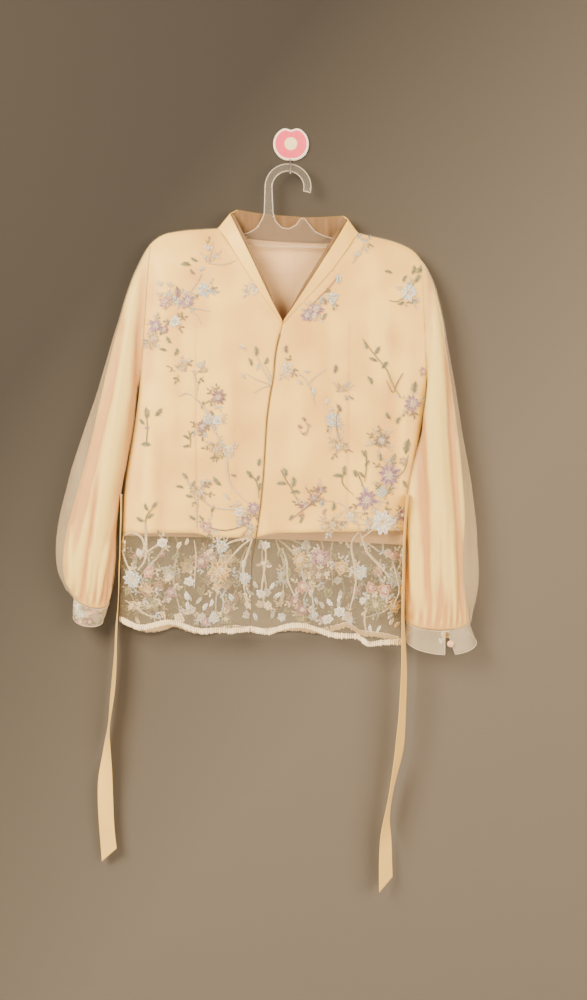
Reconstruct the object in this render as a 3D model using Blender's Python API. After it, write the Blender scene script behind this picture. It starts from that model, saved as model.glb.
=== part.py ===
"""Kebaya blouse on a clear hanger, hung from an adhesive wall hook.

The frame is the wall hook's: the origin is the middle of its back face, +Z is up, +X is to the right
as seen from the front, and -Y points away from the wall, so the blouse's front faces -Y.
Every length below is in millimetres.
"""

import math

import bmesh
import bpy
from mathutils import Vector

MM = 0.001

# Cloth: walls are measured outwards from the middle of the lining.
LINING = (-0.5, 0.5)
TULLE = (0.9, 1.9)
HEM_CORD = (0.4, 2.4)
COLLAR = (-0.4, 1.2)
FACING = (-2.3, -1.2)
CUFF = (-0.4, 0.8)
TIE = (-0.6, 0.6)
SEAM = 0.5

# Body: the lens between the front and the back, either side of the seams' plane.
SEAM_PLANE_Y = -21.0
SHOULDER_ROLL = 90.0
SIDE_POWER = 4.0
ARMHOLE_DEPTH = 13.0
SIDE_CLUSTER = 1.6
TOP_CLUSTER = 1.8
FRONT_COLUMNS = 13
FRONT_NECK_COLUMN = 9
BACK_COLUMNS = 22
BACK_NECK_COLUMN = 8
BODY_ROWS = 11
LACE_ROWS = 4
LACE_TOP = -600.0
CORD_HEIGHT = 6.0
TIP_SHARE = 0.2
FOLD_FADE = 0.7
ON_SHOULDER = 0.01

# Armholes: the top and the bottom of each one's line, from the shoulder to the underarm.
ARMHOLES = {
    "left": {"top": (-211.0, -156.0), "bottom": (-225.0, -366.0)},
    "right": {"top": (195.0, -180.0), "bottom": (204.0, -380.0)},
}

# Shoulder line, carried across the neck: x, z.
SHOULDER = [
    (-211, -156), (-204, -149), (-190, -140), (-160, -135), (-109, -132), (0, -124),
    (100, -139), (126, -145), (153, -151), (177, -161), (188, -170), (195, -180),
]

# Sides below the armholes: z, left x, right x.
SIDES = [
    (-156, -211, 194), (-180, -212.6, 195), (-366, -225, 203.4), (-380, -227, 204), (-403, -230, 199),
    (-444, -236, 191), (-502, -248, 180), (-531, -251, 177), (-589, -251, 170), (-660, -254, 166.5),
    (-706, -255, 165), (-760, -256, 164),
]

# Fullness of the body: z, front depth, back depth.
FULLNESS = [(-150, 16, 12), (-330, 20, 14), (-460, 16, 13), (-590, 17, 14), (-760, 19, 15)]

# Centre front edge: z, x.
CENTRE_FRONT = [
    (-276, -12), (-318, -23), (-363, -26), (-388, -32), (-426, -37), (-520, -41), (-588, -51),
    (-628, -58), (-760, -61),
]
EDGE_WAVE = 0.3
EDGE_WAVE_LENGTH = 60.0

# Neck seam of each front, from the shoulder to the point of the V: share, x, z.
NECK_LEFT = [(0.0, -109, -132), (0.25, -94, -153), (0.5, -72, -190), (0.78, -43, -235), (1.0, -12, -276)]
NECK_RIGHT = [(0.0, 100, -139), (0.25, 85, -163), (0.5, 58, -201), (0.78, 22, -240), (1.0, -12, -276)]

# Neck seam of the back, from left to right: share, x, z.
NECK_BACK = [
    (0.0, -109, -132), (0.12, -95, -141), (0.3, -62, -147), (0.5, -2, -151), (0.7, 56, -153),
    (0.88, 86, -149), (1.0, 100, -139),
]

# Lower edges, from the left side to the right: x, z of the lining, the back lining and the net's edge.
LINING_HEM_FRONT = [(-256, -589), (-141, -587), (-130, -594), (-51, -594), (-49, -588), (170, -584)]
LINING_HEM_BACK = [(-256, -592), (0, -598), (170, -606)]
SCALLOPS_FRONT = [
    (-256, -712), (-235, -723), (-220, -727), (-195, -718), (-174, -715), (-156, -723), (-139, -733),
    (-111, -729), (-88, -723), (-79, -741), (-67, -735), (-61, -726), (-45, -736), (-25, -730),
    (4, -717), (19, -721), (43, -729), (70, -741), (94, -733), (112, -751), (138, -747), (166, -748),
]
SCALLOPS_BACK = [
    (-256, -712), (-232, -728), (-205, -733), (-176, -722), (-148, -734), (-116, -736), (-88, -722),
    (-60, -734), (-28, -737), (-2, -722), (28, -734), (54, -736), (78, -718), (104, -736),
    (134, -738), (166, -746),
]

# Soft vertical folds of the front and the back: top z, bottom z, x at each, half width, depth.
FRONT_FOLDS = [
    (-290, -600, -136, -142, 7, -1.6), (-290, -600, 96, 88, 7, -1.6), (-250, -480, -190, -176, 9, 2.0),
    (-420, -640, -212, -224, 10, -2.2), (-380, -620, 150, 140, 10, -2.0), (-560, -760, -190, -196, 12, 2.6),
    (-560, -760, -112, -108, 12, 2.4), (-560, -760, 20, 24, 13, 2.6), (-560, -760, 108, 112, 12, 2.6),
]
BACK_FOLDS = [
    (-300, -620, -120, -126, 9, -1.8), (-300, -620, 74, 70, 9, -1.8), (-540, -760, -170, -176, 13, 2.2),
    (-540, -760, -30, -34, 14, 2.4), (-540, -760, 110, 106, 13, 2.2),
]

# Collar band's free edge, from the shoulder to the point of the V: share of the neck seam, edge x, z
# and y, and how far the net facing shows past the edge.
COLLAR_FRONTS = {
    "left": [
        (0.0, -91, -110, -24.0, 4.0), (0.25, -77, -139, -37.0, 6.5), (0.5, -56, -183, -43.0, 6.5),
        (0.78, -32, -235, -43.0, 4.5), (1.0, -13.6, -270.5, -42.0, -1.8),
    ],
    "right": [
        (0.0, 85, -119, -24.0, 4.0), (0.25, 69, -148, -37.0, 7.0), (0.5, 44, -188, -43.0, 8.0),
        (0.78, 12, -238, -43.0, 5.5), (1.0, -10.4, -270.5, -42.0, -1.8),
    ],
}
# The same at the back of the neck, from left to right.
COLLAR_BACK = [
    (0.0, -91, -110, -24.0, 0.0), (0.12, -81, -102, -16.0, 0.0), (0.3, -42, -109, -11.5, 0.0),
    (0.5, -2, -111, -10.5, 0.0), (0.7, 32, -114, -11.5, 0.0), (0.88, 78, -111, -16.5, 0.0),
    (1.0, 85, -119, -24.0, 0.0),
]
COLLAR_STEPS = 2
COLLAR_ROWS = 2
COLLAR_GAP = 0.6
NECK_POINT_LEAN = 0.5
COLLAR_END_INSET = 0.35
NECK_MIDDLE = (-4.0, -24.0)
NECK_FLATNESS = 6.0

# Sleeves, from the armhole to the cuff seam: inner x, z, outer x, z, how far the net hangs out past
# the lining, middle y, half depth, drop of the front, height of the folds.
SLEEVES = {
    "left": [
        (-225, -360, -211.5, -156, 0, -21, 13, 0, 0), (-231, -369, -222, -172, 1, -21.5, 15, 0, 0),
        (-233.5, -382, -236, -206, 2, -22.5, 17, 0, 0.5), (-235.5, -399, -248, -243, 2, -23.5, 18, 0, 0.9),
        (-238, -419, -259, -281, 3, -24, 18.5, 0, 1.2), (-241.5, -443, -270, -324, 5, -24.5, 19, 0, 1.4),
        (-247.5, -472, -284, -380, 11, -25, 19, 0, 1.5), (-254, -506, -299, -446, 15, -25.5, 19, 0, 1.6),
        (-260, -545, -317, -505, 15, -26, 19.5, 0, 1.7), (-263, -590, -332, -564, 14, -26.5, 20, 0, 1.7),
        (-265, -628, -341, -610, 11, -26.5, 20, 2, 1.6), (-268, -660, -342, -642, 8, -26, 18.5, 5, 1.5),
        (-272, -682, -336, -664, 5, -25, 15, 9, 1.2), (-274, -694, -324, -678, 1, -24, 12.5, 12, 0.8),
    ],
    "right": [
        (204, -373, 195.5, -180, 0, -21, 13, 0, 0), (210, -382, 207, -196, 1, -21.5, 15, 0, 0),
        (207.5, -396, 217, -227, 2, -22.5, 17, 0, 0.6), (204, -411, 224, -260, 2, -23.5, 18, 0, 1.2),
        (200.5, -428, 231, -296, 3, -24, 18.5, 0, 1.8), (196.5, -448, 237, -336, 4, -24.5, 19, 0, 2.2),
        (191.5, -473, 243, -386, 6, -25, 19, 0, 2.6), (186, -506, 249, -446, 8, -25.5, 19, 0, 3.0),
        (182, -545, 255, -508, 14, -26, 19.5, 0, 3.2), (177.5, -585, 258, -570, 18, -26.5, 20, 0, 3.2),
        (174.5, -626, 258, -622, 22, -26.5, 20, 2, 3.0), (173, -664, 259, -664, 22, -26.5, 19.5, 6, 2.8),
        (171.5, -696, 262, -696, 11, -26, 18, 11, 2.4), (172.5, -717, 267, -719, 2, -25, 16, 14, 1.4),
    ],
}
SLEEVE_COLUMNS = 24
SLEEVE_FOLDS = 5
FOLD_TURN = 0.5
OUTER_FOLD_LOSS = 0.8
UNDERARM_EASE = 3.0
UNDERARM_REACH = 6
NET_CLEARANCE = 1.5
NET_BILLOW = 1.5

# Cuffs, from the cuff seam down: inner x, z, outer x, z, middle y, half depth, drop of the front.
CUFFS = {
    "left": [
        (-274, -695.5, -324, -679.5, -24, 12.5, 12), (-276, -703, -325, -692, -24, 13.0, 12),
        (-279, -712, -326, -702, -24, 14.0, 11), (-283, -721, -325, -712, -24, 14.5, 10),
    ],
    "right": [
        (172.5, -718.5, 267, -720.5, -25, 16, 14), (172.5, -727, 270, -731, -25, 17, 15),
        (172.0, -737, 273.5, -742, -25, 18.5, 17), (172.5, -746, 277, -752, -25, 20, 19),
    ],
}
CUFF_SPLIT_ANGLE = {"left": 262.0, "right": 76.0}
CUFF_SPLIT_TOP = 2.0
CUFF_SPLIT_FLARE = 7.0
CUFF_FOLD = 0.8

# Ties: z, left edge x, right edge x, middle y. The hidden part of the width runs towards the wall.
TIE_WIDTH = 24.0
TIES = {
    "left": [
        (-530, -255.1, -254.3, -21.5), (-560, -255.4, -254.2, -21.5), (-600, -257.0, -255.2, -21.5),
        (-650, -259.0, -257.0, -21.5), (-700, -261.0, -258.0, -21.5), (-728, -265.0, -260.5, -21.5),
        (-768, -266.5, -261.0, -21.0), (-801, -269.5, -261.0, -20.5), (-838, -273.5, -265.0, -20.0),
        (-878, -276.0, -272.5, -19.5), (-895, -280.0, -271.5, -19.0), (-930, -286.0, -269.5, -18.0),
        (-958, -291.0, -268.0, -17.0), (-992, -291.0, -267.2, -16.0), (-1030, -289.0, -266.0, -15.0),
        (-1062, -285.0, -262.0, -14.5),
    ],
    "right": [
        (-530, 171.0, 178.5, -38.5), (-560, 168.5, 175.0, -38.5), (-600, 166.0, 171.5, -38.5),
        (-650, 164.8, 170.6, -37.4), (-700, 163.5, 169.0, -38.0), (-750, 164.0, 171.0, -37.0),
        (-810, 163.5, 174.0, -35.0), (-848, 160.5, 171.0, -33.0), (-906, 156.0, 171.0, -30.0),
        (-946, 150.0, 160.5, -28.0), (-981, 146.0, 151.5, -26.0), (-1018, 137.0, 147.0, -24.0),
        (-1040, 133.5, 150.0, -23.0), (-1074, 131.0, 151.5, -22.0), (-1105, 132.0, 152.5, -21.0),
    ],
}
TIE_SLANT = 21.0

# Hanger: a moulded plate with its hook, its right lobe and its two arms. Arms: x, drop of the top
# edge below the shoulder line.
HANGER_HALF_THICKNESS = 1.6
HANGER_ARM_HEIGHT = 12.0
HOOK_CENTRE = (-4.5, -69.0)
HOOK_OUTER_RADIUS = 34.5
HOOK_INNER_RADIUS = 24.0
HOOK_TIP_ANGLE = -14.0
HANGER_NECK_LEFT = [(-78, -141), (-64, -138), (-52, -131), (-44, -119), (-40, -108)]
HANGER_NECK_RIGHT = [
    (-27, -108), (-23, -121), (-14, -130), (-3, -132), (8, -126), (14, -117), (20, -116), (26, -124),
    (36, -136), (50, -143), (66, -147),
]
HANGER_LEFT_ARM = [(-178, 9.0), (-168, 5.2), (-150, 4.2), (-128, 6.0), (-104, 9.5)]
HANGER_RIGHT_ARM = [(96, 10.5), (116, 7.0), (134, 4.6), (150, 4.8), (164, 7.5)]
HANGER_BAR_UNDERSIDE = [(40, -160), (-40, -158)]

# Wall hook: an adhesive pad with a dimpled round outline, and a bent wire.
PAD_HALF_WIDTH = 27.0
PAD_HALF_HEIGHT = 26.0
PAD_THICKNESS = 4.0
PAD_BEVEL = 1.2
PAD_DIMPLES = [(90.0, 5.0, 16.0), (270.0, 1.2, 12.0)]
PAD_POINTS = 40
WIRE_RADIUS = 1.1
WIRE_X = -1.5
WIRE_ROUTE = [
    (-2.4, -25.2), (-3.4, -30), (-5.5, -38), (-9.5, -44.4), (-15, -47.0), (-21, -47.2), (-25.6, -46.0),
    (-28.4, -42), (-29.2, -35), (-29.2, -29),
]

# Cuff buttons: x and z of each one's middle, and the dome's profile as shares of radius and height.
BUTTON_RADIUS = 5.2
BUTTON_HEIGHT = 3.4
BUTTON_SIDES = 14
BUTTON_SEAT_REACH = 1.6 * BUTTON_RADIUS
BUTTON_PLACES = {"right": (237.0, -752.0), "left": (-304.0, -706.0)}
BUTTON_PROFILE = [(0.8, 0.0), (1.0, 0.25), (0.92, 0.65), (0.6, 0.92), (0.2, 1.0)]

COLOURS = {
    "lining": (0.86, 0.72, 0.52, 1.0),
    "tulle": (0.80, 0.74, 0.62, 1.0),
    "cord": (0.88, 0.82, 0.72, 1.0),
    "facing": (0.48, 0.37, 0.25, 1.0),
    "organza": (0.70, 0.64, 0.54, 1.0),
    "tie": (0.84, 0.74, 0.52, 1.0),
    "clear_plastic": (0.78, 0.76, 0.72, 1.0),
    "pink_plastic": (0.88, 0.36, 0.42, 1.0),
    "steel": (0.55, 0.54, 0.52, 1.0),
    "pearl": (0.80, 0.58, 0.36, 1.0),
}


def clear_scene():
    for item in list(bpy.data.objects):
        bpy.data.objects.remove(item, do_unlink=True)


def material(name, roughness=0.8, metallic=0.0):
    made = bpy.data.materials.get(name) or bpy.data.materials.new(name)
    made.use_nodes = True
    shader = made.node_tree.nodes["Principled BSDF"]
    shader.inputs["Base Color"].default_value = COLOURS[name]
    shader.inputs["Roughness"].default_value = roughness
    shader.inputs["Metallic"].default_value = metallic
    return made


def at(table, key):
    """The table's row at a key, read between the two rows that hold it."""
    rows = sorted(table)
    if key <= rows[0][0]:
        return rows[0][1:]
    for low, high in zip(rows, rows[1:]):
        if key <= high[0]:
            share = (key - low[0]) / (high[0] - low[0])
            return tuple(a + (b - a) * share for a, b in zip(low[1:], high[1:]))
    return rows[-1][1:]


def side_x(z, side):
    """The body's side at a height: the armhole's line, then the side seam."""
    arm = ARMHOLES[side]
    if z >= arm["bottom"][1]:
        share = (z - arm["top"][1]) / (arm["bottom"][1] - arm["top"][1])
        return arm["top"][0] + (arm["bottom"][0] - arm["top"][0]) * max(0.0, share)
    return at(SIDES, z)[0 if side == "left" else 1]


def armhole_depth(z, side):
    top, bottom = ARMHOLES[side]["top"][1], ARMHOLES[side]["bottom"][1]
    place = (2.0 * z - top - bottom) / (top - bottom)
    return ARMHOLE_DEPTH * math.sqrt(max(0.0, 1.0 - place * place))


def fold_height(folds, x, z):
    height = 0.0
    for top, bottom, x_top, x_bottom, half_width, depth in folds:
        share = (z - top) / (bottom - top)
        if 0.0 < share < 1.0:
            middle = x_top + (x_bottom - x_top) * share
            fade = math.sin(math.pi * share) ** FOLD_FADE
            height += depth * fade * math.exp(-(((x - middle) / half_width) ** 2))
    return height


def body_y(x, z, face):
    """Where the front (face -1) or the back (face 1) of the body lies at a place on it."""
    left, right = side_x(z, "left"), side_x(z, "right")
    across = min(1.0, abs(2.0 * x - left - right) / (right - left))
    side = "left" if 2.0 * x < left + right else "right"
    below = min(1.0, max(0.0, at(SHOULDER, x)[0] - z) / SHOULDER_ROLL)
    roll = math.sqrt(1.0 - (1.0 - below) ** 2)
    full = at(FULLNESS, z)[0 if face < 0 else 1] * roll
    arm = armhole_depth(z, side)
    power = 0.5 + 0.5 * arm / ARMHOLE_DEPTH
    inside = (1.0 - across**SIDE_POWER) ** power
    folds = fold_height(FRONT_FOLDS if face < 0 else BACK_FOLDS, x, z) * inside
    return SEAM_PLANE_Y + face * (SEAM / 2 + arm + (full - arm) * inside + folds)


def patch(top, bottom, first, last, columns, rows):
    """A Coons patch: (x, z) for each row and column, from its four edges."""
    grid = []
    for t in rows:
        line = []
        for s in columns:
            point = []
            for k in (0, 1):
                ruled = (1 - t) * top(s)[k] + t * bottom(s)[k] + (1 - s) * first(t)[k] + s * last(t)[k]
                corners = (1 - s) * ((1 - t) * top(0)[k] + t * bottom(0)[k])
                corners += s * ((1 - t) * top(1)[k] + t * bottom(1)[k])
                point.append(ruled - corners)
            line.append(tuple(point))
        grid.append(line)
    return grid


def front_top(side):
    """A front's top edge, from the armhole along the shoulder and down the neck seam."""
    neck_share = (FRONT_NECK_COLUMN / FRONT_COLUMNS) ** SIDE_CLUSTER
    neck = NECK_LEFT if side == "left" else NECK_RIGHT
    tip_x, neck_x = ARMHOLES[side]["top"][0], neck[0][1]

    def edge(s):
        if s <= neck_share:
            x = tip_x + (neck_x - tip_x) * s / neck_share
            return x, at(SHOULDER, x)[0]
        return at(neck, (s - neck_share) / (1.0 - neck_share))

    return edge


def back_share(u):
    near = 2.0 * min(u, 1.0 - u)
    share = 0.5 * near**SIDE_CLUSTER
    return share if u < 0.5 else 1.0 - share


def back_top(s):
    start = back_share(BACK_NECK_COLUMN / BACK_COLUMNS)
    if start <= s <= 1.0 - start:
        return at(NECK_BACK, (s - start) / (1.0 - 2.0 * start))
    side, share = ("left", s / start) if s < 0.5 else ("right", (1.0 - s) / start)
    neck_x = NECK_BACK[0 if side == "left" else -1][1]
    tip_x = ARMHOLES[side]["top"][0]
    x = tip_x + (neck_x - tip_x) * share
    return x, at(SHOULDER, x)[0]


def level(table, low_x, high_x):
    def edge(s):
        x = low_x + (high_x - low_x) * s
        return x, at(table, x)[0]

    return edge


def upright(x_at, top_z, bottom_z):
    def edge(t):
        z = top_z + (bottom_z - top_z) * t
        return x_at(z), z

    return edge


def body_panel(top, hem_table, scallops, first_x, last_x, columns):
    """The panel's (x, z) grid: shoulder to lining hem, lace zone, then the hem cord's two rows."""
    rows = [(k / BODY_ROWS) ** TOP_CLUSTER for k in range(BODY_ROWS + 1)]

    def hem_x(x_at, table):
        x = x_at(LACE_TOP)
        for _ in range(4):
            x = x_at(at(table, x)[0])
        return x

    hem_ends = [hem_x(x_at, hem_table) for x_at in (first_x, last_x)]
    end_zs = [at(hem_table, x)[0] for x in hem_ends]
    upper = patch(
        top, level(hem_table, *hem_ends), upright(first_x, top(0)[1], end_zs[0]),
        upright(last_x, top(1)[1], end_zs[1]), columns, rows,
    )
    low_ends = [hem_x(x_at, scallops) for x_at in (first_x, last_x)]
    low_zs = [at(scallops, x)[0] for x in low_ends]
    lace_rows = [k / LACE_ROWS for k in range(1, LACE_ROWS + 1)]
    lower = patch(
        level(hem_table, *hem_ends), level(scallops, *low_ends), upright(first_x, end_zs[0], low_zs[0]),
        upright(last_x, end_zs[1], low_zs[1]), columns, lace_rows,
    )
    cord = [[(x, z - drop) for x, z in lower[-1]] for drop in (SEAM, SEAM + CORD_HEIGHT)]
    return upper + lower + cord


def direction(before, point, after):
    """The way a line runs at a point, halfway between its two stretches there."""
    return (point - before).normalized() + (after - point).normalized()


def normals_of(grid, wrap, outward):
    """A unit normal at each point of a grid, on the side that outward(point, row) asks for."""
    rows, columns = len(grid), len(grid[0])
    found = []
    for r in range(rows):
        line = []
        for c in range(columns):
            before, after = (c - 1, c + 1) if wrap else (max(c - 1, 0), min(c + 1, columns - 1))
            along = direction(grid[r][before % columns], grid[r][c], grid[r][after % columns])
            down = direction(grid[max(r - 1, 0)][c], grid[r][c], grid[min(r + 1, rows - 1)][c])
            line.append(along.cross(down).normalized())
        found.append(line)
    vote = sum(
        n.dot(outward(p, r)) for r, (ns, ps) in enumerate(zip(found, grid)) for n, p in zip(ns, ps)
    )
    if vote < 0:
        found = [[-n for n in line] for line in found]
    return found


def shell(name, grid, normals, wall, finish, wrap=False):
    """A closed wall whose two faces lie at the two distances in wall from the grid."""
    rows, columns = len(grid), len(grid[0])
    verts = []
    for distance in (wall[1], wall[0]):
        for ps, ns in zip(grid, normals):
            verts.extend((p + n * distance) * MM for p, n in zip(ps, ns))
    half = rows * columns

    def index(r, c, layer):
        return layer * half + r * columns + c % columns

    faces = []
    spans = columns if wrap else columns - 1
    for r in range(rows - 1):
        for c in range(spans):
            for layer in (0, 1):
                low, high = index(r, c, layer), index(r + 1, c + 1, layer)
                faces.append([low, index(r, c + 1, layer), high])
                faces.append([low, high, index(r + 1, c, layer)])
    for c in range(spans):
        faces.append([index(0, c, 0), index(0, c, 1), index(0, c + 1, 1), index(0, c + 1, 0)])
        last = rows - 1
        faces.append([index(last, c, 0), index(last, c + 1, 0), index(last, c + 1, 1), index(last, c, 1)])
    if not wrap:
        end = columns - 1
        for r in range(rows - 1):
            faces.append([index(r, 0, 0), index(r + 1, 0, 0), index(r + 1, 0, 1), index(r, 0, 1)])
            faces.append([index(r, end, 0), index(r, end, 1), index(r + 1, end, 1), index(r + 1, end, 0)])
    return solid(name, verts, faces, finish)


def solid(name, verts, faces, finish):
    mesh = bpy.data.meshes.new(name)
    mesh.from_pydata([tuple(v) for v in verts], [], faces)
    work = bmesh.new()
    work.from_mesh(mesh)
    bmesh.ops.recalc_face_normals(work, faces=work.faces[:])
    work.to_mesh(mesh)
    work.free()
    mesh.shade_smooth()
    mesh.set_sharp_from_angle(angle=math.radians(40))
    made = bpy.data.objects.new(name, mesh)
    mesh.materials.append(finish)
    bpy.context.scene.collection.objects.link(made)
    return made


def tidy_seam_normals(grid, normals, sides, neck_columns):
    """Turns the wall square to the seam plane at shoulders and sides, and to the armhole's."""
    for r, line in enumerate(grid):
        for c, side in sides.items():
            point, normal = line[c], normals[r][c]
            in_armhole = point.z > ARMHOLES[side]["bottom"][1]
            kept = Vector((0.0, normal.y, normal.z)) if in_armhole else Vector((normal.x, 0.0, normal.z))
            normals[r][c] = kept.normalized()
    for c, point in enumerate(grid[0]):
        if abs(point.z - at(SHOULDER, point.x)[0]) < ON_SHOULDER:
            lean = 0.0 if c in sides else normals[0][c].x
            if c in neck_columns:
                lean = math.copysign(NECK_POINT_LEAN, point.x)
            normals[0][c] = Vector((lean, 0.0, abs(normals[0][c].z) + ON_SHOULDER)).normalized()


def body_nodes(label, flat, face, sides, neck_columns):
    """Builds one panel's nodes, and returns its neck seam: a point and a normal for each column."""
    grid = [[Vector((x, body_y(x, z, face), z)) for x, z in line] for line in flat]
    normals = normals_of(grid, False, lambda p, r: Vector((0.0, face, 0.0)))
    tidy_seam_normals(grid, normals, sides, neck_columns)
    lining_end = BODY_ROWS + 1
    net_end = lining_end + LACE_ROWS
    shell(f"lining_{label}", grid[:lining_end], normals[:lining_end], LINING, material("lining"))
    shell(f"net_{label}", grid[:net_end], normals[:net_end], TULLE, material("tulle"))
    shell(f"hem_cord_{label}", grid[net_end:], normals[net_end:], HEM_CORD, material("cord"))
    first, last = neck_columns
    return [(grid[0][c], normals[0][c]) for c in range(first, last + 1)]


def centre_x(shift):
    """The front edge, with the slight wave that an unpressed edge has."""
    return lambda z: at(CENTRE_FRONT, z)[0] + shift + EDGE_WAVE * math.sin(math.tau * z / EDGE_WAVE_LENGTH)


def build_body():
    seams = {}
    shares = [(k / FRONT_COLUMNS) ** SIDE_CLUSTER for k in range(FRONT_COLUMNS + 1)]
    for side, shift in (("left", -SEAM / 2), ("right", SEAM / 2)):
        flat = body_panel(
            shifted_top(front_top(side), centre_x(shift)), LINING_HEM_FRONT, SCALLOPS_FRONT,
            lambda z, side=side: side_x(z, side), centre_x(shift), shares,
        )
        ends = (FRONT_NECK_COLUMN, FRONT_COLUMNS)
        seams[side] = body_nodes(f"front_{side}", flat, -1, {0: side}, ends)
    shares = [back_share(k / BACK_COLUMNS) for k in range(BACK_COLUMNS + 1)]
    flat = body_panel(
        back_top, LINING_HEM_BACK, SCALLOPS_BACK, lambda z: side_x(z, "left"),
        lambda z: side_x(z, "right"), shares,
    )
    ends = (BACK_NECK_COLUMN, BACK_COLUMNS - BACK_NECK_COLUMN)
    seams["back"] = body_nodes("back", flat, 1, {0: "left", BACK_COLUMNS: "right"}, ends)
    return seams


def shifted_top(top, last_x):
    """The top edge with its last stretch moved so that it ends on the centre front edge."""
    x_end, z_end = top(1.0)
    target = last_x(z_end)

    def edge(s):
        x, z = top(s)
        return x + (target - x_end) * max(0.0, (s - 1.0 + TIP_SHARE) / TIP_SHARE), z

    return edge


def band_columns(seam, edges):
    """For each column of a band: its seam's point and normal, its free edge and the facing's reach."""
    lengths = [0.0]
    for (a, _), (b, _) in zip(seam, seam[1:]):
        lengths.append(lengths[-1] + (b - a).length)
    columns = []
    for k in range((len(seam) - 1) * COLLAR_STEPS + 1):
        low, step = divmod(k, COLLAR_STEPS)
        high, t = min(low + 1, len(seam) - 1), step / COLLAR_STEPS
        length = lengths[low] + (lengths[high] - lengths[low]) * t
        x, z, y, past = at(edges, length / lengths[-1])
        point = seam[low][0].lerp(seam[high][0], t)
        normal = seam[low][1].lerp(seam[high][1], t).normalized()
        columns.append((point, normal, Vector((x, y, z)), past))
    return columns


def from_neck_middle(point, row):
    return Vector((point.x - NECK_MIDDLE[0], NECK_FLATNESS * (point.y - NECK_MIDDLE[1]), 0.0))


def build_collar(seams):
    left = band_columns(seams["left"], COLLAR_FRONTS["left"])[::-1]
    back = band_columns(seams["back"], COLLAR_BACK)
    right = band_columns(seams["right"], COLLAR_FRONTS["right"])
    ring = left + back[1:-1] + right
    last_left, first_right = len(left) - 1, len(left) + len(back) - 2
    spans = {
        "front_left": (0, last_left), "back": (last_left, first_right),
        "front_right": (first_right, len(ring) - 1),
    }
    for name, wall, reach, finish in (
        ("collar", COLLAR, 0.0, material("lining")), ("neck_facing", FACING, 1.0, material("facing")),
    ):
        grid = []
        for row in range(COLLAR_ROWS + 1):
            line = []
            for seam, _, edge, past in ring:
                band = (edge - seam).normalized()
                start, stop = seam + band * COLLAR_GAP, edge + band * past * reach
                line.append(start.lerp(stop, row / COLLAR_ROWS))
            grid.append(line)
        normals = normals_of(grid, False, from_neck_middle)
        normals[0] = [entry[1] for entry in ring]
        for line in normals:
            for end in (0, -1):
                line[end] = Vector((0.0, line[end].y, line[end].z)).normalized()
        for part, (first, last) in spans.items():
            rows = [[point.copy() for point in line[first:last + 1]] for line in grid]
            for line in rows:
                inset_ends(line, COLLAR_END_INSET)
            shell(f"{name}_{part}", rows, [line[first:last + 1] for line in normals], wall, finish)


def inset_ends(line, distance):
    first, last = line[1] - line[0], line[-2] - line[-1]
    line[0] += first.normalized() * distance
    line[-1] += last.normalized() * distance


def tube_ring(row, shares, turn):
    """One ring of a sleeve or cuff. Share 0 is its outer edge, and the front half comes first."""
    in_x, in_z, out_x, out_z, y, depth, drop, fold = row
    middle = Vector(((in_x + out_x) / 2, y, (in_z + out_z) / 2))
    reach = Vector(((out_x - in_x) / 2, 0.0, (out_z - in_z) / 2))
    down = Vector((reach.z, 0.0, -reach.x)).normalized()
    if down.z > 0:
        down = -down
    ring = []
    for share in shares:
        angle = math.tau * share
        fade = 1.0 - OUTER_FOLD_LOSS * max(0.0, math.cos(angle))
        ripple = 1.0 + fold * fade / depth * math.cos(SLEEVE_FOLDS * angle + turn)
        point = middle + reach * math.cos(angle) + down * drop * math.sin(angle)
        point.y -= depth * ripple * math.sin(angle)
        ring.append(point)
    return ring


def tube_normals(grid, wrap):
    """Normals that point away from the tube's middle, square to it at its two open ends."""
    middles = [sum(ring, Vector()) / len(ring) for ring in grid]
    normals = normals_of(grid, wrap, lambda p, r: p - middles[r])
    for end, axis in ((0, middles[1] - middles[0]), (-1, middles[-1] - middles[-2])):
        axis.normalize()
        normals[end] = [(n - axis * n.dot(axis)).normalized() for n in normals[end]]
    return normals


def sleeve_rings(rows, shares, side):
    """The lining's rings; the first stands off the armhole, most at the underarm."""
    rings = []
    for number, row in enumerate(rows):
        rings.append(tube_ring(row[:4] + row[5:], shares, FOLD_TURN * number))
    away = -1 if side == "left" else 1
    for point, share in zip(rings[0], shares):
        underarm = ((1.0 - math.cos(math.tau * share)) / 2) ** UNDERARM_REACH
        point.x += away * (SEAM + UNDERARM_EASE * underarm)
    return rings


def build_sleeves():
    shares = [c / SLEEVE_COLUMNS for c in range(SLEEVE_COLUMNS)]
    for side, rows in SLEEVES.items():
        lining = sleeve_rings(rows, shares, side)
        net = []
        for (in_x, in_z, out_x, out_z, spare, *_), ring in zip(rows, lining):
            away = Vector((out_x - in_x, 0.0, out_z - in_z)).normalized()
            line = []
            for point, share in zip(ring, shares):
                angle = math.tau * share
                stand_off = spare * max(0.0, math.cos(angle)) ** NET_BILLOW
                clear = Vector((0.0, -math.sin(angle) * min(stand_off, NET_CLEARANCE), 0.0))
                line.append(point + away * stand_off + clear)
            net.append(line)
        lining_normals, net_normals = tube_normals(lining, True), tube_normals(net, True)
        square = [Vector((0.0, n.y, n.z)).normalized() for n in lining_normals[0]]
        lining_normals[0] = net_normals[0] = square
        shell(f"sleeve_lining_{side}", lining, lining_normals, LINING, material("lining"), wrap=True)
        shell(f"sleeve_net_{side}", net, net_normals, TULLE, material("tulle"), wrap=True)


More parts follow.
